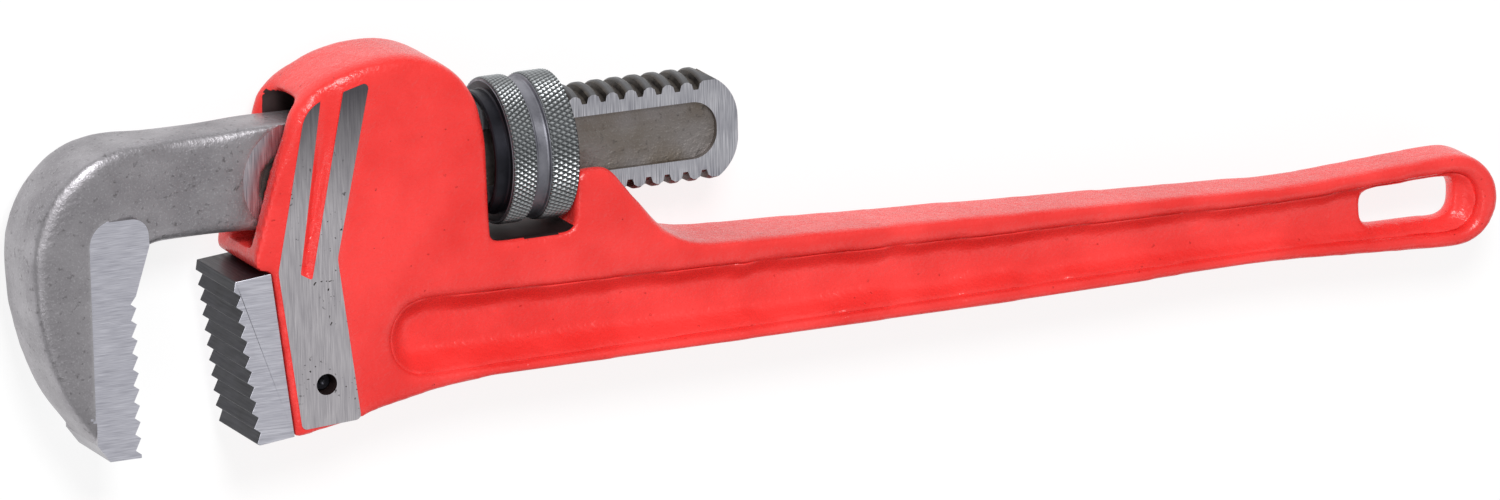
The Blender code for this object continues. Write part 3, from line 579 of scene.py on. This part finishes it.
def red_enamel(color):
    """Dipped red enamel over sand-cast ductile iron: glossy, with the sand's dimples below it."""
    mat, (cloud, grain, fine, peel, speck) = new_material(
        "red enamel on sand casting", 0.0,
        [(22.0, 3.0), (1.1, 2.0), (0.5, 2.0), (4.5, 2.0), (1.3, 0.0)])
    mat.node_tree.nodes["Principled BSDF"].inputs["Specular IOR Level"].default_value = 0.42
    # the enamel is deeper in colour in broad patches, set by a cloud
    deep = (color[0] * 0.86, color[1] * 0.62, color[2] * 0.6, 1.0)
    # a dust speck here and there sits under the coat
    dust = add(mat.node_tree, "ShaderNodeMapRange", {"Value": speck, "From Min": 0.85,
                                                     "From Max": 0.88})
    return surface(mat, deep, [(cloud, 0.35, 0.65, 1.0, (*color, 1.0))],
                   (grain, 0.3, 0.7, 0.22, 0.36),
                   [(peel, 0.3), (grain, 0.16), (fine, 0.04), (dust, 0.3)])


def ground_metal(name, light, dark, line_mm, along, turn, pores_and_painted_reflection=False):
    """Surface-ground or milled metal: bright, with fine parallel tool lines, or with open pores and
    a painted reflection that darkens it towards the top.
    """
    # the wheel's marks are drawn a little coarser than real ones, so that they show
    stretch = {"X": (0.03, 1, 1), "Y": (1, 0.03, 1)}[along]
    noises = [(line_mm, 2.0, turn, stretch), (9.0, 4.0)]
    if pores_and_painted_reflection:
        noises += [(1.1, 1.0), (16.0, 1.0)]
    mat, (lines, cloud, *pores) = new_material(name, 1.0, noises)
    tree = mat.node_tree
    faint = add(tree, "ShaderNodeMath", {0: cloud, 1: 0.35}, operation="MULTIPLY")
    sheen = add(tree, "ShaderNodeMath", {0: lines, 1: faint}, operation="ADD")
    layers = [(sheen, 0.48, 0.88, 1.0, linear(light))]
    if pores_and_painted_reflection:
        # open pores of the casting, in patches
        shares = [add(tree, "ShaderNodeMapRange", {"Value": value, "From Min": low,
                                                   "From Max": high})
                  for value, (low, high) in zip(pores, ((0.68, 0.72), (0.5, 0.58)))]
        pit = add(tree, "ShaderNodeMath", {0: shares[0], 1: shares[1]}, operation="MULTIPLY")
        layers.append((pit, 0.0, 1.0, 1.0, linear("#3C3836")))
        # the narrow upper strips are painted darker towards the top, as a painted reflection of the
        # darker surroundings
        place = add(tree, "ShaderNodeTexCoord").outputs["Object"]
        height = add(tree, "ShaderNodeSeparateXYZ", {0: place}).outputs["Y"]
        layers.append((height, AXIS.y - 8 * MM, AXIS.y + 26 * MM, 0.85, linear("#3C3A40")))
    return surface(mat, linear(dark), layers, (lines, 0.3, 0.7, 0.28, 0.42), [(lines, 0.012)])


def forged_steel(name, base, warm, bright):
    """Shot-blasted drop forging: matt grey scale, brown in places, bright on its worn edges."""
    mat, (cloud, spark, pock) = new_material(name, 0.9, [(14.0, 5.0), (0.55, 2.0), (1.6, 3.0)])
    # handling and tumbling polish the outer curves
    worn = add(mat.node_tree, "ShaderNodeNewGeometry").outputs["Pointiness"]
    layers = [(cloud, 0.38, 0.66, 1.0, linear(warm)), (pock, 0.60, 0.74, 0.55, linear("#3E3A38")),
              (spark, 0.56, 0.72, 0.5, linear(bright)), (worn, 0.502, 0.54, 0.35, linear(bright))]
    return surface(mat, linear(base), layers, (cloud, 0.3, 0.7, 0.50, 0.40),
                   [(cloud, 0.5), (pock, 0.16), (spark, 0.06)])


def black_oxide():
    """Hot black oxide over milled tool steel: near black, softly shining, with cutter lines."""
    mat, (lines, cloud) = new_material(
        "black oxide on tool steel", 0.75, [(0.6, 2.0, 0.0, (1, 1, 0.05)), (7.0, 3.0)])
    return surface(mat, linear("#1E1E24"), [(cloud, 0.3, 0.7, 1.0, linear("#2E2E36"))],
                   (lines, 0.3, 0.7, 0.34, 0.46), [(lines, 0.02)])


def shaded_bare_iron():
    """Broached and milled ductile iron, painted near black as shade for the shadow inside the
    housing's slot, window and pin hole.
    """
    mat, (cloud,) = new_material("bare iron with painted shade", 0.5, [(5.0, 3.0)])
    return surface(mat, linear("#2A1C1C"), [(cloud, 0.3, 0.7, 1.0, linear("#3A2A2A"))], 0.55)


def knurl_steel(root, crest):
    """Phosphated steel whose rolled diamonds are rubbed bright on their crests, with painted shade
    darkening the valleys: dark valleys, light crests.
    """
    mat, (grain,) = new_material("phosphated knurled steel", 1.0, [(0.4, 2.0)])
    radius = axis_distance(mat.node_tree)
    # the valleys are darker than the plain phosphate as painted shade; the light crests are rubbed
    # wear
    return surface(mat, linear("#3A3C3E"), [(radius, root, crest, 1.0, linear("#D2D6D8"))],
                   (radius, root, crest, 0.5, 0.36), [(grain, 0.02)])


def phosphated_steel():
    """Phosphated turned steel: matt grey with a fine sandy grain."""
    mat, (grain, cloud) = new_material("phosphated turned steel", 0.9, [(0.5, 2.0), (6.0, 3.0)])
    return surface(mat, linear("#707078"), [(cloud, 0.3, 0.7, 1.0, linear("#909098"))],
                   (grain, 0.3, 0.7, 0.36, 0.52), [(grain, 0.03)])


def thread_steel():
    """Cut and blackened thread: dark brown-grey, lighter where the nut has rubbed the crests."""
    mat, (cloud, grain) = new_material("blackened cut thread", 0.85, [(2.5, 4.0), (0.8, 3.0)])
    radius = axis_distance(mat.node_tree)
    layers = [(cloud, 0.35, 0.65, 1.0, linear("#5A544E")),
              (radius, THREAD_RADIUS - 0.5 * MM, THREAD_RADIUS, 1.0, linear("#6A6A6C"))]
    return surface(mat, linear("#3A3634"), layers, (cloud, 0.3, 0.7, 0.40, 0.55), [(grain, 0.05)])


def spring_steel():
    """Oil-tempered spring steel: smooth blue-grey with drawing lines."""
    mat, (cloud,) = new_material("oil-tempered spring steel", 1.0, [(3.0, 3.0)])
    return surface(mat, linear("#4A4C54"), [(cloud, 0.3, 0.7, 1.0, linear("#6C7078"))],
                   (cloud, 0.3, 0.7, 0.28, 0.4))


# ---------------------------------------------------------------- pieces
def pad_outline():
    """Outline of the ground pad beside the heel jaw and up the housing."""
    return fillet([
        (*seat(46.4 * MM, 1.9 * MM), 1.6 * MM),
        (*seat(47.4 * MM, 19.6 * MM), 1.6 * MM),
        (*seat(0.4 * MM, 19.4 * MM), 6 * MM),
        (MOUTH_X + 24.3 * MM, 28.4 * MM, 1.4 * MM),
        (MOUTH_X + 4.9 * MM, 23.2 * MM, 9 * MM),
        (*seat(0.2 * MM, 1.5 * MM), 6 * MM),
    ])


def groove_outline(inset=0.0):
    """The tapering cast groove that crosses the pad, and rounds off above it."""
    return fillet([
        (MOUTH_X + 1.8 * MM + inset, -24.2 * MM + inset, 0.6 * MM),
        (MOUTH_X + 5.2 * MM - inset, -26.2 * MM + inset, 0.6 * MM),
        (MOUTH_X + 17.2 * MM - inset, 30.5 * MM, 3.2 * MM - inset),
        (MOUTH_X + 10.4 * MM + inset, 30.5 * MM, 3.2 * MM - inset),
    ])


class WRENCH_OT_casting(bpy.types.Operator):
    """Make the painted handle and housing with their ground pads"""
    bl_idname = "wrench.casting"
    bl_label = "Casting"

    def execute(self, context):
        settings = context.scene.wrench
        body = cad_copy("casting", "handle")
        groove_floor = HOUSING_HALF - GROOVE_DEPTH
        for low, high in ((groove_floor, FAR), (-FAR, -groove_floor)):
            combine(body, plate("groove", groove_outline(1.2 * MM), low, high), "DIFFERENCE")
        shape(body, "REMESH", mode="VOXEL", voxel_size=settings.casting_grain)
        soften(body, lambda p: 1.0, 3)
        self.deepen(body)
        for weight, times in ((self.near_hollow_end, 22), (self.near_boss, 12),
                              (self.near_dome, 70)):
            soften(body, weight, times)
        top = HOUSING_HALF + PAD_HEIGHT
        for side in (1, -1):
            ends = sorted((side * (HOUSING_HALF - PAD_SUNK), side * top))
            pad = plate(f"pad_{side}", pad_outline(), *ends)
            combine(pad, plate("groove", groove_outline(), -FAR, FAR), "DIFFERENCE")
            drill(pad)
            combine(body, pad, "UNION")

        def pick(place, normal):
            x, y, z = place.x, place.y, abs(place.z)
            if abs(normal.z) > FLAT and z > top - SLIVER:
                return 1
            # the slot, the window's floor and the pin's hole take the dark iron, whose darkness is
            # painted shade for the shadow inside them
            in_slot = MOUTH_X + 2 * MM < x < WINDOW_LEFT + MM and abs(y) < SLOT_REACH \
                and z < SLOT_HALF
            on_floor = WINDOW_LEFT < x < MM and abs(y - WINDOW_FLOOR) < 1.5 * MM and z < WINDOW_HALF
            in_hole = math.dist((x, y), pin_place()[:2]) < PIN_RADIUS + 0.5 * MM
            return 2 if in_slot or on_floor or in_hole else 0

        pad_metal = ground_metal("ground ductile iron", "#E2DEE2", "#CAC6CC", 0.22, "Y",
                                 SEAT_TILT * 0.5, True)
        finish_piece(body, "handle",
                     [red_enamel(settings.paint), pad_metal, shaded_bare_iron()], pick, ["handle"])
        return {"FINISHED"}

    @staticmethod
    def near_hollow_end(p):
        """The hollow's end and the foot of the housing."""
        return ramp(p.x, -66 * MM, -58 * MM) * ramp(-p.y, 20 * MM, 26 * MM)

    @staticmethod
    def near_boss(p):
        """The faces of the boss below the nut."""
        return ramp(p.x, -30 * MM, -25 * MM) * (1 - ramp(p.x, 4 * MM, 8 * MM)) \
            * ramp(p.y, -29 * MM, -25 * MM) * ramp(abs(p.z), 11 * MM, 14 * MM)

    @staticmethod
    def near_dome(p):
        """The housing's dome, and the shoulder behind the nut, which are rounder still."""
        return max(ramp(p.y, 4 * MM, 16 * MM), ramp(p.x, 0, 6 * MM) * ramp(p.y, -32 * MM, -24 * MM))

    def deepen(self, body):
        """Give the hollow in each side one long S-shaped wall from its rim down to its floor."""
        left, upper = AXIS.x - 66 * MM, AXIS.y - 17 * MM
        handle = [v for v in body.data.vertices if v.co.x > left and v.co.y < upper]
        for side in (1, -1):
            walls, rim = [], []
            for v in handle:
                level = side * (v.co.z - AXIS.z)
                half = casting_half(v.co.x - AXIS.x)
                if level > half - 0.1 * MM:
                    rim.append((v.co.x, v.co.y, 0))
                elif level > MM and side * v.normal.z > 0.1:
                    walls.append((v, half))
            tree = KDTree(len(rim))
            for k, place in enumerate(rim):
                tree.insert(place, k)
            tree.balance()
            for v, half in walls:
                inside = tree.find((v.co.x, v.co.y, 0))[2]
                lean = HOLLOW_WALL * half / HOUSING_HALF
                v.co.z = AXIS.z + side * half * (1 - HOLLOW_SHARE * ramp(inside, 0, lean))


def tooth_block_outline():
    """The thumb-shaped outline whose +X side is the hook's row of teeth."""
    pitch, depth, steep = HOOK_TOOTH
    bottom = HOOK_TIP + 0.7 * MM
    first = bottom + 1.0 * MM + pitch * 9
    teeth = [(HOOK_EDGE, bottom)]
    for k in reversed(range(10)):
        y = first - k * pitch
        teeth += [(HOOK_EDGE, y), (HOOK_EDGE - depth, y + steep)]
    left = HOOK_EDGE - GROUND_WIDTH + 0.4 * MM
    top = GROUND_TOP - 0.3 * MM
    crown = fillet([teeth[-1] + (0,), (HOOK_EDGE, first + 3.4 * MM, 0),
                    (HOOK_EDGE + 4.6 * MM, -11 * MM, 4 * MM), (HOOK_EDGE + 4.2 * MM, top, 5 * MM),
                    (left, top, 6 * MM), (*TIP[1], 0), (*TIP[0], 0)])
    return teeth[:-1] + crown


def thread_coil(name, mat, radii, widths, start, turns):
    """A right-hand coil along the shank's axis."""
    values = {"Turns": turns, "Pitch": THREAD_PITCH, "Inner radius": radii[0],
              "Outer radius": radii[1], "Inner width": widths[0], "Outer width": widths[1],
              "Count per turn": 72}
    return grow(name, coil_tree(mat), values, Matrix.Translation((start, 0, 0)))


class WRENCH_OT_hook_jaw(bpy.types.Operator):
    """Make the forged hook jaw with its teeth, flats and thread"""
    bl_idname = "wrench.hook_jaw"
    bl_label = "Hook jaw"

    def execute(self, context):
        settings = context.scene.wrench
        steel = forged_steel("blasted drop forging", "#949195", "#A8A5A9", "#C4C3C7")
        jaw = cad_copy("hook_forging", "hook_jaw")
        # what is rebuilt goes first: the thread, the row of teeth and the tip's corner
        end, root = THREAD_START - 1.5 * MM, HOOK_EDGE - HOOK_TOOTH[1] - 1.4 * MM
        slant = TIP[1] - TIP[0]
        low, high = TIP[0] - slant, TIP[1] + 2 * slant
        for name, outline in (
                ("thread_end", [(end, -FAR), (FAR, -FAR), (FAR, FAR), (end, FAR)]),
                ("edge", [(root, -FAR), (root + 30 * MM, -FAR), (root + 30 * MM, -15 * MM),
                          (root, -15 * MM)]),
                ("tip", [tuple(low), tuple(high), (-FAR, high.y), (-FAR, -FAR), (low.x, -FAR)])):
            combine(jaw, plate(name, outline, -FAR, FAR), "DIFFERENCE")
        # a coarse mesh first, whose smoothing reaches far enough to round the hook's thick edges
        shape(jaw, "REMESH", mode="VOXEL", voxel_size=2 * settings.forging_grain)
        self.flare(jaw)
        soften(jaw, lambda p: 1 - ramp(p.x, -108 * MM, -90 * MM), 26)
        soften(jaw, lambda p: ramp(-p.y, 50 * MM, 64 * MM), 10)
        shape(jaw, "REMESH", mode="VOXEL", voxel_size=settings.forging_grain)
        soften(jaw, lambda p: 1.0, 5)
        ground = fillet([(HOOK_EDGE - GROUND_WIDTH, GROUND_TOP, 7 * MM),
                         (HOOK_EDGE - GROUND_WIDTH, -FAR, 0), (HOOK_EDGE + 5.4 * MM, -FAR, 0),
                         (HOOK_EDGE + 5.4 * MM, GROUND_TOP, 6 * MM)])
        flats = fillet([(FLAT_START, FLAT_LOW, FLAT_ROUND), (FAR, FLAT_LOW, 0),
                        (FAR, FLAT_HIGH, 0), (FLAT_START, FLAT_HIGH, FLAT_ROUND)])
        for outline, half in ((ground, GROUND_HALF), (flats, SHANK_HALF + SLIVER)):
            for low, high in ((half, FAR), (-FAR, -half)):
                combine(jaw, plate("mill", outline, low, high), "DIFFERENCE")
        half = GROUND_HALF + SLIVER
        block = plate("teeth", tooth_block_outline(), -half, half)
        combine(jaw, block, "UNION")
        combine(jaw, self.shank(steel), "UNION")
        pocket = fillet([(x, y, POCKET_ROUND) for x, y in (
            (POCKET_START, -POCKET_HALF), (POCKET_END, -POCKET_HALF),
            (POCKET_END, POCKET_HALF), (POCKET_START, POCKET_HALF))])
        floor = SHANK_HALF - POCKET_DEPTH
        for low, high in ((floor, floor + 20 * MM), (-floor - 20 * MM, -floor)):
            cutter = plate("pocket", pocket, low, high)
            shape(cutter, "BEVEL", width=0.7 * MM, segments=3, limit_method="ANGLE",
                  angle_limit=math.radians(60))
            combine(jaw, cutter, "DIFFERENCE")

        def pick(place, normal):
            x, y, z = place.x, place.y, abs(place.z)
            flat = abs(normal.z) > FLAT
            if flat and abs(z - GROUND_HALF) < CLOSE and y < GROUND_TOP \
                    and x < HOOK_EDGE + 6 * MM:
                return 1
            if flat and abs(z - SHANK_HALF) < CLOSE:
                return 2
            if FLAT_START < x < SHANK_END - 6 * MM and abs(y) < POCKET_HALF + 0.1 * MM \
                    and z < SHANK_HALF - 0.03 * MM:
                return 3
            return 4 if x > THREAD_START else 0

        sides = ground_metal("ground hook sides", "#F0F0FA", "#D0D0DC", 0.2, "X", 0.03)
        milled = ground_metal("milled shank flats", "#E6E6EC", "#A6A6B0", 0.3, "Y", 0.0)
        brown = forged_steel("scaled pocket", "#8A8482", "#7C7268", "#9C9894")
        finish_piece(jaw, "hook_jaw", [steel, sides, milled, brown, thread_steel()],
                     pick, ["hook_jaw"], 30)
        return {"FINISHED"}

    def flare(self, jaw):
        """Draw the step between the thick hook and the thin neck out into one long curve."""
        thinning = NECK_HALF - HOOK_HALF
        for vertex in jaw.data.vertices:
            x = vertex.co.x - AXIS.x
            if FLARE_START < x < FLARE_END:
                share = min(max((x - STEP_START) / (STEP_END - STEP_START), 0), 1)
                was = HOOK_HALF + thinning * share
                now = HOOK_HALF + thinning * ramp(x, FLARE_START, FLARE_END)
                vertex.co.z = AXIS.z + (vertex.co.z - AXIS.z) * now / was

    def shank(self, mat):
        """The threaded shank, flat on two sides, with its rounded end."""
        round_end, side = THREAD_RADIUS * 0.84, THREAD_RADIUS + 0.2 * MM
        start = THREAD_START - 5 * MM
        blank = plate("shank", fillet([(start, -side, 0), (SHANK_END, -side, round_end),
                                       (SHANK_END, side, round_end), (start, side, 0)]),
                      -SHANK_HALF, SHANK_HALF)
        bar = [(-FAR, 0), (-FAR, THREAD_RADIUS), (FAR, THREAD_RADIUS), (FAR, 0)]
        combine(blank, turned("bar", bar, 144), "INTERSECT")
        over = 0.8 * MM
        # a wide shallow second cut rounds the crests over
        for name, radii, widths in (
                ("thread", (THREAD_RADIUS - THREAD_DEPTH, THREAD_RADIUS + over),
                 (THREAD_ROOT, THREAD_MOUTH + THREAD_SLOPE * over)),
                ("crest", (THREAD_RADIUS - 0.55 * MM, THREAD_RADIUS + 0.25 * MM),
                 (2.7 * MM, 5.3 * MM))):
            coil = thread_coil(name, mat, radii, widths, THREAD_PHASE - THREAD_PITCH * 10, 18)
            combine(blank, coil, "DIFFERENCE")
        return blank


class WRENCH_OT_nut(bpy.types.Operator):
    """Make the knurled adjusting nut with its thread"""
    bl_idname = "wrench.nut"
    bl_label = "Adjusting nut"

    def execute(self, context):
        settings = context.scene.wrench
        steel = phosphated_steel()
        depth = settings.knurl_depth
        root = NUT_RADIUS - depth
        knurled = knurl_steel(root, NUT_RADIUS)
        cut, groove = BAND_CHAMFER, NUT_RADIUS - BAND_GROOVE
        front = -NUT_WIDTH
        hub = front - HUB_LENGTH
        profile = [
            (0, NUT_BORE + 2 * MM), (0, root - cut), (-cut, root), (-BAND_WIDTH - cut, root),
            (-BAND_WIDTH - 1.4 * cut, groove + 0.2 * MM), (-BAND_WIDTH - 2 * cut, groove),
            (front + BAND_WIDTH, groove), (front + BAND_WIDTH - 0.6 * cut, groove + 0.2 * MM),
            (front + BAND_WIDTH - cut, root), (front + cut, root), (front, root - cut),
            (front, HUB_RADIUS + 0.4 * MM), (front - 0.4 * MM, HUB_RADIUS),
            (hub + 0.4 * MM, HUB_RADIUS), (hub, HUB_RADIUS - 0.4 * MM), (hub, NUT_BORE + 2 * MM),
            (hub + 2 * MM, NUT_BORE), (-2 * MM, NUT_BORE)]
        nut = turned("knurled_nut", profile, 144)
        # the nut's ridges leave a clearance on both sides of the shank's
        radii = (NUT_BORE - 0.6 * MM, THREAD_RADIUS + NUT_CLEARANCE)
        widths = [THREAD_PITCH + 2 * NUT_CLEARANCE - THREAD_ROOT
                  - THREAD_SLOPE * (radius - THREAD_RADIUS + THREAD_DEPTH) for radius in radii]
        first = THREAD_PHASE - THREAD_PITCH * 5.5
        combine(nut, thread_coil("nut_thread", steel, radii, widths, first, 7), "DIFFERENCE")
        ring = knurl_tree(knurled)
        for low, high in ((-BAND_WIDTH - cut + 0.25 * MM, -0.15 * MM),
                          (front + 0.15 * MM, front + BAND_WIDTH - cut - 0.25 * MM)):
            values = {"Width": high - low, "Inner radius": groove - 0.3 * MM, "Root radius": root,
                      "Depth": depth, "Count around": settings.knurl_around,
                      "Count along": settings.knurl_along, "Count steps": 8}
            combine(nut, grow("knurl", ring, values, Matrix.Translation((low, 0, 0))), "UNION")

        def pick(place, normal):
            # the front face and the hub take the near-black oxide as painted shade, for the shadow
            # that falls on them beside the housing
            if place.x < front + 0.1 * MM:
                return 2
            radius = math.hypot(place.y, place.z)
            return 1 if radius > root + 0.01 * MM and abs(normal.x) < 0.95 else 0

        finish_piece(nut, "nut", [steel, knurled, black_oxide()], pick,
                     ["adjusting_nut"], 25)
        return {"FINISHED"}


class WRENCH_OT_heel_jaw(bpy.types.Operator):
    """Make the toothed heel jaw and the pin that holds it"""
    bl_idname = "wrench.heel_jaw"
    bl_label = "Heel jaw"

    def execute(self, context):
        front, back = -HEEL_DEPTH, -HEEL_GAP
        points = [seat(0.2 * MM, back), seat(0, front + 0.8 * MM)]
        pitch, deep, steep = HEEL_TOOTH
        for k in range(10):
            down = 2.8 * MM + k * pitch
            points += [seat(down, front), seat(down + steep, front + deep)]
        points += [seat(HEEL_HEIGHT - 0.6 * MM, front + 0.3 * MM),
                   seat(HEEL_HEIGHT, front + 1.2 * MM), seat(HEEL_HEIGHT, back)]
        jaw = plate("toothed_heel", points, -HEEL_HALF, HEEL_HALF)
        shape(jaw, "BEVEL", width=0.16 * MM, segments=2, limit_method="ANGLE",
              angle_limit=math.radians(40))
        tongue = [seat(TENON_BOTTOM, TENON_FRONT), seat(TENON_BOTTOM, TENON_BACK),
                  seat(TENON_TOP, TENON_BACK), seat(TENON_TOP, TENON_FRONT)]
        combine(jaw, plate("tenon", tongue, -TENON_HALF, TENON_HALF), "UNION")
        drill(jaw)
        sides = ground_metal("ground heel sides", "#F2F2FC", "#D4D4E0", 0.2, "X", -0.12)
        finish_piece(jaw, "handle", [black_oxide(), sides],
                     lambda place, normal: 1 if abs(normal.z) > 0.9 else 0, ["heel_jaw"], 12)
        # the pin's ends are chamfered and dished
        end = [(PIN_HALF - 0.5 * MM, PIN_RADIUS), (PIN_HALF, PIN_RADIUS - 0.5 * MM),
               (PIN_HALF, 1.1 * MM), (PIN_HALF - 0.9 * MM, 0)]
        profile = [(-x, radius) for x, radius in reversed(end)] + end
        pin = turned("jaw_pin", profile, 48, "Z", pin_place())
        finish_piece(pin, "handle", [black_oxide()], None, ["heel_jaw_pin"], 30)
        return {"FINISHED"}


class WRENCH_OT_springs(bpy.types.Operator):
    """Make the leaf spring, its rivet and the coil spring behind it"""
    bl_idname = "wrench.springs"
    bl_label = "Springs"

    def execute(self, context):
        steel = spring_steel()
        leaf = cad_copy("leaf_spring", "flat_spring")
        shape(leaf, "BEVEL", width=0.12 * MM, segments=2, limit_method="ANGLE",
              angle_limit=math.radians(40))
        finish_piece(leaf, "handle", [steel], None, ["flat_spring"], 30)
        low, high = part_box("spring_rivet")
        middle = (low + high) / 2 - AXIS
        head, r, length = 3.2 * MM, 2.0 * MM, high.y - low.y
        dome = [(0.9 * MM * (1 - math.cos(a)), head * math.sin(a)) for a in
                (math.radians(90 * k / 8) for k in range(9))]
        profile = dome + [(1.2 * MM, head), (1.2 * MM, r), (length - 0.4 * MM, r),
                          (length, r - 0.4 * MM), (length, 0)]
        rivet = turned("leaf_rivet", profile, 40, "Y", Vector((middle.x, low.y - AXIS.y, middle.z)))
        finish_piece(rivet, "handle", [steel], None, ["spring_rivet"], 30)
        low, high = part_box("coil_spring")
        middle = (low + high) / 2 - AXIS
        wire = 0.6 * MM
        values = {"Turns": 4.5, "Height": high.y - low.y - 2 * wire,
                  "Radius": (high.z - low.z) / 2 - wire, "Wire radius": wire}
        place = Matrix.Translation((middle.x, low.y - AXIS.y + wire, middle.z)) @ \
            Matrix.Rotation(-math.pi / 2, 4, "X")
        coil = grow("coiled_wire", spring_tree(steel), values, place)
        finish_piece(coil, "handle", [steel], None, ["coil_spring"], 30)
        return {"FINISHED"}


class WRENCH_OT_stage(bpy.types.Operator):
    """Make the floor, the lights and the camera"""
    bl_idname = "wrench.stage"
    bl_label = "Stage"

    def execute(self, context):
        scene = context.scene
        bm = bmesh.new()
        bmesh.ops.create_grid(bm, x_segments=1, y_segments=1, size=4.0)
        mesh = bpy.data.meshes.new("floor")
        bm.to_mesh(mesh)
        bm.free()
        floor = new_object("floor", mesh)
        mat, _ = new_material("matt paper floor", 0.0)
        shader = mat.node_tree.nodes["Principled BSDF"]
        # lit through from below, so that shadows on it stay faint
        shader.inputs["Base Color"].default_value = (*[0.2 * c for c in scene.wrench.floor], 1.0)
        shader.inputs["Roughness"].default_value = 0.9
        shader.inputs["Emission Color"].default_value = (*scene.wrench.floor, 1.0)
        shader.inputs["Emission Strength"].default_value = 0.9
        mesh.materials.append(mat)
        for name, place, size, power in (
                ("key", (-0.35, 0.95, 1.45), 0.5, 20.5), ("front", (-1.2, -0.3, 1.6), 0.6, 3.0),
                ("side", (1.1, -0.9, 1.2), 1.2, 2.5)):
            data = bpy.data.lights.new(name, "AREA")
            data.shape = "DISK"
            data.size = size
            data.energy = power
            light = new_object(name, data)
            light.location = place
            light.rotation_euler = Vector(place).to_track_quat("Z", "Y").to_euler()
        world = bpy.data.worlds.new("studio")
        scene.world = world
        world.use_nodes = True
        sky = world.node_tree.nodes["Background"]
        sky.inputs["Color"].default_value = (1, 1, 1, 1)
        sky.inputs["Strength"].default_value = 0.4
        scene.view_settings.view_transform = "Standard"
        self.camera(scene)
        return {"FINISHED"}

    def camera(self, scene):
        """A long lens looking steeply down past the jaws, turned so that the handle lies level."""
        azimuth, elevation, roll = (math.radians(a) for a in (236.48, 63.11, 118.95))
        distance = 5.0623
        aim = AXIS + Vector((59.1, -38.7, 0)) * MM
        level = math.cos(elevation)
        back = Vector((math.sin(azimuth) * level, -math.cos(azimuth) * level, math.sin(elevation)))
        right = Vector((0, 0, 1)).cross(back).normalized()
        up = back.cross(right)
        turn = Matrix((right, up, back)).transposed().to_4x4() @ Matrix.Rotation(roll, 4, "Z")
        data = bpy.data.cameras.new("camera")
        data.lens = 432.0
        data.sensor_width = 36.0
        data.clip_start, data.clip_end = 0.1, 20.0
        camera = new_object("camera", data)
        camera.matrix_world = Matrix.Translation(aim + back * distance) @ turn
        scene.camera = camera


class WRENCH_PT_panel(bpy.types.Panel):
    """The wrench's pieces and sizes."""
    bl_label = "Pipe wrench"
    bl_space_type = "VIEW_3D"
    bl_region_type = "UI"
    bl_category = "Wrench"

    def draw(self, context):
        for key in WrenchSettings.__annotations__:
            self.layout.prop(context.scene.wrench, key)
        for operator in OPERATORS:
            self.layout.operator(operator.bl_idname)


OPERATORS = (WRENCH_OT_casting, WRENCH_OT_hook_jaw, WRENCH_OT_nut, WRENCH_OT_heel_jaw,
             WRENCH_OT_springs, WRENCH_OT_stage)
CLASSES = (WrenchSettings, *OPERATORS, WRENCH_PT_panel)


def register():
    for cls in CLASSES:
        bpy.utils.register_class(cls)
    bpy.types.Scene.wrench = PointerProperty(type=WrenchSettings)


def unregister():
    del bpy.types.Scene.wrench
    for cls in reversed(CLASSES):
        bpy.utils.unregister_class(cls)


def main():
    register()
    bpy.ops.wrench.casting()
    bpy.ops.wrench.hook_jaw()
    bpy.ops.wrench.nut()
    bpy.ops.wrench.heel_jaw()
    bpy.ops.wrench.springs()
    bpy.ops.wrench.stage()


if __name__ == "__main__":
    main()
